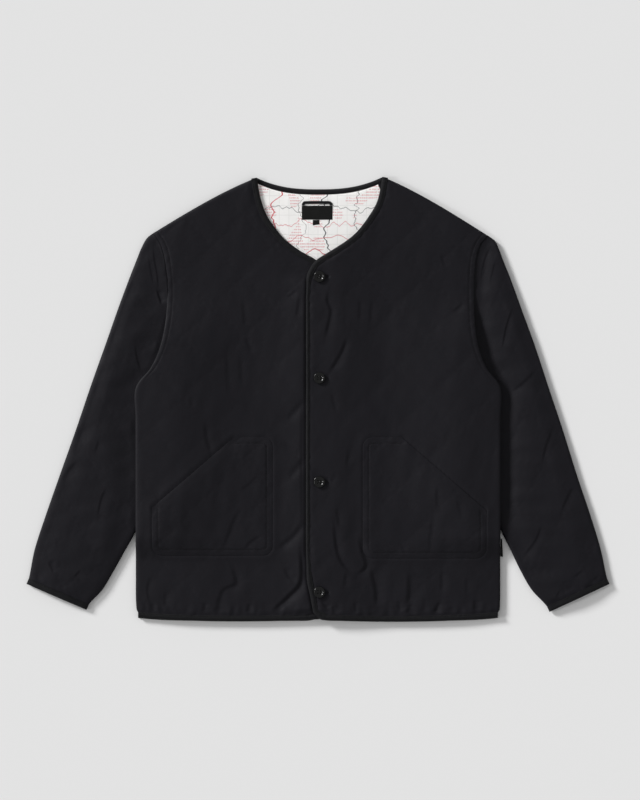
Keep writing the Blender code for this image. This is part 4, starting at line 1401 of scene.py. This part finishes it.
@dataclass
class Sleeve:
    """A sleeve pressed flat, open from armhole to cuff, with its cuff bound."""

    side: Side
    wardrobe: Wardrobe
    stitching: Stitching
    stations: int = 290
    upper: int = 98
    lower: int = 48
    puff: float = 3.0
    rise: float = 45.0
    tuck_in: float = 1.6
    valley: float = 2.7
    long: float = 500.0

    def armhole(self) -> Array:
        """Its own armhole edge: from the tucked fold, then a little way under the body's armhole."""
        table = LAYOUT.front_rows(self.side)
        armhole = table[table[:, 3] >= LAYOUT.tuck_top][:, 2:]
        tuck = np.array(LAYOUT.tuck_left if self.side is Side.LEFT else LAYOUT.tuck_right)
        return np.concatenate([tuck, armhole + inward(armhole, -self.side.value) * self.tuck_in])

    @property
    def fold(self) -> float:
        """Reach of the rounding of its folds, which is wider where light meets it."""
        return 12.0 if self.side is Side.RIGHT else 6.0

    def across(self, width: float) -> tuple[Array, Array]:
        """Distances from the inner fold of the points of the upper and the lower wall."""
        bend = self.fold * (1 - np.cos(np.linspace(0, math.pi / 2, 7)))
        walls = []
        for count, ends in ((self.upper, bend), (self.lower, bend[1::2])):
            flat = np.linspace(self.fold, width - self.fold, count)[1:-1]
            walls.append(np.concatenate([ends, flat, width - ends[::-1]]))
        return walls[0], walls[1]

    def ring(self, inner: Array, outer: Array, station: float, skin: bool, bound: float = 0.0) -> Array:
        """One section.

        Args:
            inner: its inner fold.
            outer: its outer fold.
            station: its place from armhole, 0, to cuff, 1.
            skin: whether this is the outer face, or the face of the hollow.
            bound: how far the binding stands out of the cloth.

        Returns:
            The section's points, round it.
        """
        width = float(np.linalg.norm(outer - inner))
        upper, lower = self.across(width)
        distance = np.concatenate([lower, upper[::-1]])
        is_upper = np.arange(len(distance)) >= len(lower)
        fraction = distance / width
        blend = float(ease(station * 16 / 7))
        path = self.armhole()
        seam = read_path(path, fraction * lengths(path)[-1])
        chord = path[0] + (path[-1] - path[0]) * fraction[:, None]
        spot = inner + (outer - inner) * fraction[:, None] + (seam - chord) * (1 - blend) ** 1.2
        x, y = spot[:, 0], spot[:, 1]
        own = self.puff * ease((width - distance) / self.rise) * ease(distance / self.rise)
        sewn = LAYOUT.air(seam[:, 0]) - LAYOUT.gap
        hollow = LAYOUT.gap + LAYOUT.free(x, y) * (own * blend + sewn * (1 - blend))
        height = 2 * LAYOUT.wall + hollow
        edge = np.minimum(distance, width - distance)
        round_off = np.sqrt(1 - np.clip(1 - edge / self.fold, 0, 1) ** 2)
        if not skin:
            inset = LAYOUT.wall
            spot = inner + (outer - inner) * (inset + (width - 2 * inset) * fraction[:, None]) / width
            spot = spot + (seam - chord) * (1 - blend) ** 1.2
            half = hollow / 2 * np.minimum(1, edge / 4 + 0.25)
            return layered(spot[:, 0], spot[:, 1], height / 2 + np.where(is_upper, half, -half))
        half = (height / 2 + bound) * (0.12 + 0.88 * round_off)
        z = height / 2 + np.where(is_upper, half, np.maximum(-half, -height / 2))
        return layered(x, y, z)

    def quilting(self) -> Quilting:
        """Its quilting, turned with it."""
        turn = sleeve_turn(self.side)
        return Quilting(corner=(self.side.value * 330.0, 330.0), pitch=94.0, turn=turn, puff=0.5, width=11.0)

    def relief(self, x: Array, y: Array) -> Array:
        """Height of the upper wall over its plain form."""
        sign = self.side.value
        height = self.quilting().relief(x, y) - 0.4
        height += 0.4 * ripple(x, y, 34.0, 41 + sign) + 0.6 * ripple(x, y, 110.0, 44 + sign)
        for crease in SLEEVE_CREASES[self.side]:
            height += crease.relief(x, y)
        return height

    def build(self) -> bpy.types.Object:
        table = LAYOUT.sleeve_rows(self.side)
        s = np.linspace(0, 1, self.stations)
        inner, outer = edge_of(table, 0, s), edge_of(table, 2, s)
        path = self.armhole()
        start = bell(s, 0.02)[:, None]
        inner, outer = inner + (path[0] - inner[0]) * start, outer + (path[-1] - outer[0]) * start
        chord = outer[-1] - inner[-1]
        axis = np.array([chord[1], -chord[0]]) / np.linalg.norm(chord)
        axis = axis if axis[1] < 0 else -axis
        back_off = ease((s - 0.9) / 0.1)[:, None] * axis * LAYOUT.binding
        tips = inner[-1].copy(), outer[-1].copy()
        inner, outer = inner - back_off, outer - back_off
        skin = np.array([self.ring(a, b, t, True) for a, b, t in zip(inner, outer, s)])
        picks = np.linspace(self.stations - 1, 0, 12).astype(int)
        hollow = np.array([self.ring(inner[k], outer[k], s[k], False) for k in picks])
        self.dress_skin(skin, s)
        work = tube(np.concatenate([skin, hollow]), closed_on_itself=True)
        word = self.side.word
        name = f"quilted_sleeve_{word}"
        piece = fitted(finish(work, name, self.wardrobe.sleeves[self.side]), f"sleeve_{word}")
        cuff = self.bind_cuff(tips, axis)
        return piece

    def dress_skin(self, skin: Array, s: Array) -> None:
        """Raises the upper wall by its quilting and creases, and sinks it at the armhole and the cuff."""
        first = len(self.across(100.0)[1])
        self.dress_underside(*(skin[:, :first, k] for k in range(3)), s)
        x, y, z = (skin[:, first:, k] for k in range(3))
        along = s[:, None] * self.long
        to_cuff = self.long - along
        sewn = ease((y - LAYOUT.lift_ceiling[0]) / (LAYOUT.lift_ceiling[1] - LAYOUT.lift_ceiling[0]))
        beyond = np.abs(x) - LAYOUT.body_half(x, y)
        shown = ease((beyond + 14 * sewn) / 10.0)
        inside = from_ends(x.shape[1])
        soft = ease(inside * 14)
        z += self.relief(x, y) * shown * soft * ease(along / 12) * ease(to_cuff / 10)
        z -= roll(along, 7.0, 2.6) * (0.4 + 0.6 * shown) + 0.9 * bell(to_cuff, 4.5) * soft
        z += 0.35 * ripple(x, y, 12.0, 47) * (np.exp(-along / 12) + np.exp(-to_cuff / 9)) * soft * shown
        z -= 0.5 * (1 - shown) * ease(inside * 20) * (y > 130)
        if self.side is Side.LEFT:
            uneven = 0.95 + 0.08 * ripple(x, y, 70.0, 49)
            z -= self.valley * uneven * bell(beyond - 9, 14.0) * soft * ease((y - 150) / 40)

    def dress_underside(self, x: Array, y: Array, z: Array, s: Array) -> None:
        """Presses quilting and the other sleeve's creases, mirrored, up into the lower wall."""
        calm = ease(from_ends(x.shape[1]) * 9) * (ease(s * 12) * ease((1 - s) * 30))[:, None]
        pressed = 0.55 - self.quilting().relief(x, y) + 0.25 * ripple(x, y, 34.0, 52)
        for crease in SLEEVE_CREASES[Side(-self.side.value)]:
            pressed -= crease.relief(-x, y)
        z += np.maximum(pressed, 0) * calm

    def bind_cuff(self, tips: tuple[Array, Array], axis: Array) -> bpy.types.Object:
        """Binds the cuff."""
        profile = (
            (0.2, 0.05), (0.6, 0.2), (1.1, 0.22), (1.7, 0.14), (2.6, 0.28), (4.2, 0.38), (6.4, 0.35),
            (8.2, 0.1), (9.3, -0.6), (9.8, -1.7),
        )
        inside = ((8.0, 0.0), (5.0, 0.0), (0.3, 0.0))
        rings = []
        for skin, part in ((True, profile), (False, inside)):
            for along, bound in part:
                shift = axis * (LAYOUT.binding - along)
                rings.append(self.ring(tips[0] - shift, tips[1] - shift, 1.0, skin, bound))
        work = tube(np.array(rings), closed_on_itself=True)
        first = len(self.across(100.0)[1])
        line = rings[3][first + 6 : -6]
        self.stitching.sew(line + np.array([0, 0, 0.15]))
        word = self.side.word
        piece = finish(work, f"bound_cuff_{word}", self.wardrobe.tape)
        return fitted(piece, f"binding_cuff_{word}")


@dataclass
class Pocket:
    """A slant-topped patch pocket, sewn to its front on all sides but the slant."""

    side: Side
    cloth: Cloth
    wardrobe: Wardrobe
    stitching: Stitching
    wall: float = 1.5
    seam: float = 9.5
    rows: int = 112
    columns: int = 98

    def build(self) -> bpy.types.Object:
        """Makes the pocket and its topstitching."""
        inner, outer, bottom, top, slant_inner, slant_foot = POCKETS[self.side]
        r = POCKET_ROUND
        height = bottom + (top - bottom) * crowded(self.rows, 0.3)
        low = np.clip(1 - (height - bottom) / r, 0, 1)
        high = np.clip(1 - (top - height) / r, 0, 1)
        start = inner + r * (1 - np.sqrt(1 - np.maximum(low, high) ** 2))
        end = outer - r * (1 - np.sqrt(1 - low**2))
        slant = outer + (slant_inner - outer) * np.clip((height - slant_foot) / (top - slant_foot), 0, 1)
        end = np.minimum(end, slant)
        away = start[:, None] + (end - start)[:, None] * crowded(self.columns, 0.4)
        x = self.side.value * away
        y = np.repeat(height[:, None], self.columns, 1)
        outline = pocket_outline(POCKETS[self.side])
        sewn = np.concatenate([outline[MOUTH.stop - 1 :], outline[: MOUTH.start + 1]])
        from_sewn, from_mouth = (to_path(away, y, path)[2] for path in (sewn, outline[MOUTH]))
        from_stitches = from_sewn - self.seam
        floor = self.cloth.front_top(self.side, x, y) + LAYOUT.gap
        relief = 0.25 * ripple(x, y, 30.0, 61) + 0.35 * (1 - bell(from_stitches, 9.0))
        relief += 0.2 * ripple(x, y, 9.0, 62) * np.exp(-np.abs(from_stitches) / 6)
        for crease in POCKET_CREASES[self.side]:
            relief += 0.6 * crease.relief(x, y)
        relief *= ease(np.minimum(from_sewn, from_mouth) / 5)
        relief -= 0.5 * bell(from_stitches, 1.4)
        fall = 0.9 * (1 - ease(from_sewn / 12)) + 0.9 * (1 - ease(from_mouth / 16))
        upper = floor + self.wall + relief - fall - roll(from_sewn, 1.6, 0.3) - roll(from_mouth, 1.6, 0.3)
        work = shell(layered(x, y, floor), layered(x, y, np.maximum(upper, floor + 0.35)))
        word = self.side.word
        piece = fitted(finish(work, f"patch_pocket_{word}", self.wardrobe.nylon), f"pocket_{word}")
        self.topstitch(sewn)
        return piece

    def topstitch(self, sewn: Array) -> None:
        """Sews the pocket down inside its edge."""
        line = evenly(sewn, 400)
        line = line + inward(line, -1) * self.seam
        keep = to_path(line[:, 0], line[:, 1], sewn)[2] > self.seam - 0.3
        line = line[keep]
        x, y = self.side.value * line[:, 0], line[:, 1]
        level = self.cloth.front_top(self.side, x, y) + LAYOUT.gap + self.wall
        self.stitching.sew(layered(x, y, level - 0.3))


@dataclass
class Lining:
    """The printed lining where it shows in the neck."""

    wardrobe: Wardrobe
    wall: float = 1.0
    rows: int = 90
    columns: int = 110

    def build(self) -> bpy.types.Object:
        table = np.array(LAYOUT.lining_rows)
        v = np.linspace(0, 1, self.rows)
        height, half = through(table[:, 0], v), through(table[:, 1], v)
        fraction = np.linspace(-1, 1, self.columns)
        top = LAYOUT.neck_line(fraction * table[-1, 1]) - LAYOUT.binding - LAYOUT.gap
        x = half[:, None] * fraction
        y = height[:, None] + (top - table[-1, 0])[None] * v[:, None] ** 3
        low = np.full(x.shape, LAYOUT.wall + LAYOUT.gap)
        free = ease((0.72 - np.abs(fraction)) / 0.3)[None] * ease((y - 585) / 25) * ease((y[-1:] - y) / 9)
        folds = 0.45 * (ripple(x, y, 38.0, 71) + 0.7) * free
        thick = self.wall * (0.45 + 0.55 * ease((y[-1:] - y) / 2.5))
        work = shell(layered(x, y, low), layered(x, y, low + thick + np.maximum(folds, 0)))
        piece = fitted(finish(work, "printed_lining", self.wardrobe.lining), "lining")
        return piece


@dataclass
class Labels:
    """The bare neck label with its hanger loop and size tab, and the side label."""

    wardrobe: Wardrobe
    stitching: Stitching

    def span(self, node: str) -> tuple[Array, Array]:
        """A solid's lowest and highest corners, in drafted millimetres."""
        low, high = (np.array(corner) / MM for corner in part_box(node))
        shift = np.array([0, LENGTH / 2, 0])
        return low + shift, high + shift

    def plate(
        self, node: str, name: str, skew: float = 0.0, count: tuple[int, int] = (12, 26)
    ) -> bpy.types.Object:
        """A woven plate with soft edges in the place of a solid.

        Args:
            node: the solid.
            name: the piece's name.
            skew: how much lower its left corner hangs.
            count: its rows and columns.

        Returns:
            The piece.
        """
        low, high = self.span(node)
        wide, tall = high[0] - low[0], high[1] - low[1]
        u, v = np.meshgrid(np.linspace(0, 1, count[1]), np.linspace(0, 1, count[0]))
        x = low[0] + wide * u
        bottom = low[1] + skew * u
        y = bottom + (high[1] - bottom) * v
        edge = np.minimum(np.minimum(u, 1 - u) * wide, np.minimum(v, 1 - v) * tall)
        top = high[2] - roll(edge, 0.9, 0.45) + 0.18 * ripple(x, y, 14.0, 81) * ease(edge / 3)
        work = shell(layered(x, y, low[2]), layered(x, y, top))
        return fitted(finish(work, name, self.wardrobe.label), node)

    def loop(self) -> bpy.types.Object:
        """The hanger loop: one tape, up, across and down."""
        low, high = self.span("hanger_loop")
        half = 2.3
        left, right, foot, top = low[0] + half, high[0] - half, low[1], high[1] - half
        path = (
            (left, foot), (left + 0.4, foot + 2.4), (left + 2.4, top - 0.3), (left + 8, top),
            (0.0, top + 0.1),
            (right - 8, top), (right - 2.4, top - 0.3), (right - 0.4, foot + 2.4), (right, foot),
        )
        line = curve(path, 60)
        normal = inward(line, 1)
        across = np.array((-1, -1, -0.85, 0, 0.85, 1, 1, 0.85, -0.85))
        up = np.array((0.25, 0.75, 1, 0.96, 1, 0.75, 0.25, 0, 0))
        x = line[:, :1] + normal[:, :1] * across * half
        y = line[:, 1:] + normal[:, 1:] * across * half
        y = np.maximum(y, foot)
        work = tube(layered(x, y, low[2] + up * (high[2] - low[2])))
        return fitted(finish(work, "neck_hanger_loop", self.wardrobe.tape), "hanger_loop")

    def build(self) -> list[bpy.types.Object]:
        """Makes them all."""
        pieces = [
            self.plate("neck_label", "neck_label_bare"),
            self.plate("size_tab", "size_tab_bare", 1.8, (8, 10)),
            self.loop(),
            self.side(),
        ]
        low, high = self.span("neck_label")
        (left, foot), (right, head) = low[:2] + 1, high[:2] - 1
        corners = np.array([(left, foot), (right, foot), (right, head), (left, head)])
        for first, second in zip(corners, np.roll(corners, -1, 0)):
            line = np.stack([first, second])
            self.stitching.sew(layered(line[:, 0], line[:, 1], high[2] - 0.1))
        return pieces

    def side(self) -> bpy.types.Object:
        """The side label, which stands out of the side seam, further at its lower end."""
        low, high = self.span("side_label")
        u, v = np.meshgrid(np.linspace(0, 1, 8), np.linspace(0, 1, 24))
        reach = (high[0] - low[0]) - 1.6 * v
        x = low[0] + reach * u
        y = low[1] + (high[1] - low[1]) * v
        middle = LAYOUT.raised(np.full(x.shape, LAYOUT.side), y) + LAYOUT.wall
        bow = 0.25 * np.sin(v * math.tau) * u
        work = shell(layered(x, y, middle - 0.35 + bow), layered(x, y, middle + 0.35 + bow))
        return fitted(finish(work, "side_label_bare", self.wardrobe.label), "side_label")


@dataclass
class Buttons:
    """The four sewn-on buttons and the ends of their buttonholes."""

    wardrobe: Wardrobe
    stitching: Stitching
    cloth: Cloth
    rim: float = 2.0
    dish: float = 1.5
    slope: float = 3.2
    soft: float = 1.55
    hole: float = 0.95
    hole_out: float = 2.1
    turns: int = 72

    def profile(self, radius: float, thick: float) -> list[tuple[float, float]]:
        """Radius and height along the button's section, from the middle of its face to that of its back."""
        low = thick - self.dish
        points = [(0.0, low)]
        for t in np.linspace(0, 1, 7):
            r = radius - self.rim - self.slope + self.slope * t
            points.append((r, low + self.dish * float(ease(t)) * 0.96))
        for angle in np.linspace(90, -60, 11):
            turn = math.radians(angle)
            out, up = math.cos(turn) - 1, math.sin(turn) - 1
            points.append((radius + self.soft * out, thick + self.soft * up))
        return points + [(radius - 2.4, 0.0), (0.0, 0.0)]

    def make(self, number: int) -> bpy.types.Object:
        """One button: turned, then drilled, with its thread."""
        low, high = (Vector(corner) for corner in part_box(f"button_{number}"))
        centre = (low + high) / 2
        radius = (high.x - low.x) / 2 / MM
        thick = (high.z - low.z) / MM
        work = bmesh.new()
        chain = [
            work.verts.new((centre.x + r * MM, centre.y, low.z + z * MM))
            for r, z in self.profile(radius, thick)
        ]
        edges = [work.edges.new(pair) for pair in zip(chain, chain[1:])]
        bmesh.ops.spin(
            work, geom=chain + edges, cent=centre, axis=(0, 0, 1), angle=math.tau, steps=self.turns,
            use_merge=True,
        )
        bmesh.ops.remove_doubles(work, verts=work.verts, dist=1e-6)
        button = finish(work, f"button_plain_{number}", self.wardrobe.plastic, 40.0)
        holes = bmesh.new()
        for sx in (-1, 1):
            for sy in (-1, 1):
                spot = centre + Vector((sx, sy, 0)) * self.hole_out * MM
                bmesh.ops.create_cone(
                    holes, cap_ends=True, segments=16, radius1=self.hole * MM, radius2=self.hole * MM,
                    depth=20 * MM, matrix=Matrix.Translation(spot),
                )
        drill = finish(holes, f"drill_{number}", self.wardrobe.plastic)
        cut = button.modifiers.new("holes", "BOOLEAN")
        cut.operation = "DIFFERENCE"
        cut.object = drill
        drilled = bpy.data.meshes.new_from_object(button.evaluated_get(bpy.context.evaluated_depsgraph_get()))
        button.modifiers.clear()
        button.data = drilled
        bpy.data.objects.remove(drill, do_unlink=True)
        self.sew_on(centre, low.z / MM + thick - self.dish + 0.15)
        return fitted(button, f"button_{number}")

    def sew_on(self, centre: Vector, level: float) -> None:
        """Threads a button through its holes, and works the end of its buttonhole."""
        x, y = centre.x / MM, centre.y / MM + LENGTH / 2
        for side in (-1, 1):
            for strand in (-0.28, 0.28):
                spot = np.array([x + side * self.hole_out + strand, y, level])
                self.stitching.spindle(spot, np.array([0.0, 1.0, 0.0]), 5.0, 0.75)
        hold = float(self.cloth.front_top(Side.LEFT, np.array([x + 12.0]), np.array([y]))[0])
        self.stitching.buttonhole(x + 8.0, x + 13.2, y, hold + 0.1)

    def build(self) -> list[bpy.types.Object]:
        """Makes the four."""
        return [self.make(number) for number in range(1, 5)]


@dataclass
class Studio:
    """Pale floor, soft light from the upper left, and a camera straight above."""

    half: float = 12.0
    height: float = 6.0
    middle: tuple[float, float] = (0.0032, -0.0011)
    long_side: float = 1.28
    sky: float = 0.43
    suns: tuple[tuple[str, float, float, float, float], ...] = (
        ("key", 145.0, 21.0, 3.75, 13.0),
        ("side", 186.0, 30.0, 0.6, 10.0),
    )

    def build(self) -> None:
        """Makes the floor, the lights and the camera."""
        scene = bpy.context.scene
        work = bmesh.new()
        bmesh.ops.create_grid(work, x_segments=2, y_segments=2, size=self.half)
        bmesh.ops.translate(work, verts=work.verts, vec=(0, 0, -0.0003))
        floor = finish(work, "floor", FloorPaint().material("floor_paint"))
        world = bpy.data.worlds.new("studio")
        world.use_nodes = True
        world.node_tree.nodes["Background"].inputs["Color"].default_value = (1.0, 1.0, 1.0, 1.0)
        world.node_tree.nodes["Background"].inputs["Strength"].default_value = self.sky
        scene.world = world
        for name, turn, rise, power, size in self.suns:
            self.add_sun(name, math.radians(turn), math.radians(rise), power, math.radians(size))
        lens = bpy.data.cameras.new("camera")
        lens.sensor_width = 36.0
        lens.lens = lens.sensor_width * self.height / self.long_side
        lens.clip_end = 100.0
        camera = bpy.data.objects.new("camera", lens)
        camera.location = (*self.middle, self.height)
        scene.collection.objects.link(camera)
        scene.camera = camera
        scene.view_settings.view_transform = "Standard"
        scene.view_settings.look = "None"
        scene.view_settings.exposure = 0.0
        scene.view_settings.gamma = 1.0

    def add_sun(self, name: str, turn: float, rise: float, power: float, size: float) -> None:
        """Adds a far light.

        Args:
            name: its name.
            turn: the direction that it is in, counter-clockwise from +X.
            rise: its angle above the floor.
            power: its strength.
            size: how large it looks, which softens its shadows.
        """
        lamp = bpy.data.lights.new(name, "SUN")
        lamp.energy = power
        lamp.angle = size
        sun = bpy.data.objects.new(name, lamp)
        toward = Vector((math.cos(turn) * math.cos(rise), math.sin(turn) * math.cos(rise), math.sin(rise)))
        sun.rotation_mode = "QUATERNION"
        sun.rotation_quaternion = toward.to_track_quat("Z", "Y")
        sun.location = toward * 3
        bpy.context.scene.collection.objects.link(sun)


def main() -> None:
    """Builds every sub-assembly in order."""
    logging.basicConfig(level=logging.INFO, format="%(message)s")
    wardrobe = Wardrobe()
    cloth = Cloth(Quilting(), BODY_CREASES)
    stitching = Stitching()
    Studio().build()
    sleeves = [Sleeve(side, wardrobe, stitching) for side in Side]
    for sleeve in sleeves:
        log.info("built %s", sleeve.build().name)
    log.info("built %s", Back(wardrobe, stitching).build().name)
    log.info("built %s", Lining(wardrobe).build().name)
    for side in (Side.RIGHT, Side.LEFT):
        log.info("built %s", Front(side, cloth, wardrobe, stitching).build().name)
    for side in Side:
        log.info("built %s", Pocket(side, cloth, wardrobe, stitching).build().name)
    for piece in Labels(wardrobe, stitching).build() + Buttons(wardrobe, stitching, cloth).build():
        log.info("built %s", piece.name)
    log.info("built %s", stitching.gather("sewn_stitches", wardrobe.thread).name)


if __name__ == "__main__":
    main()
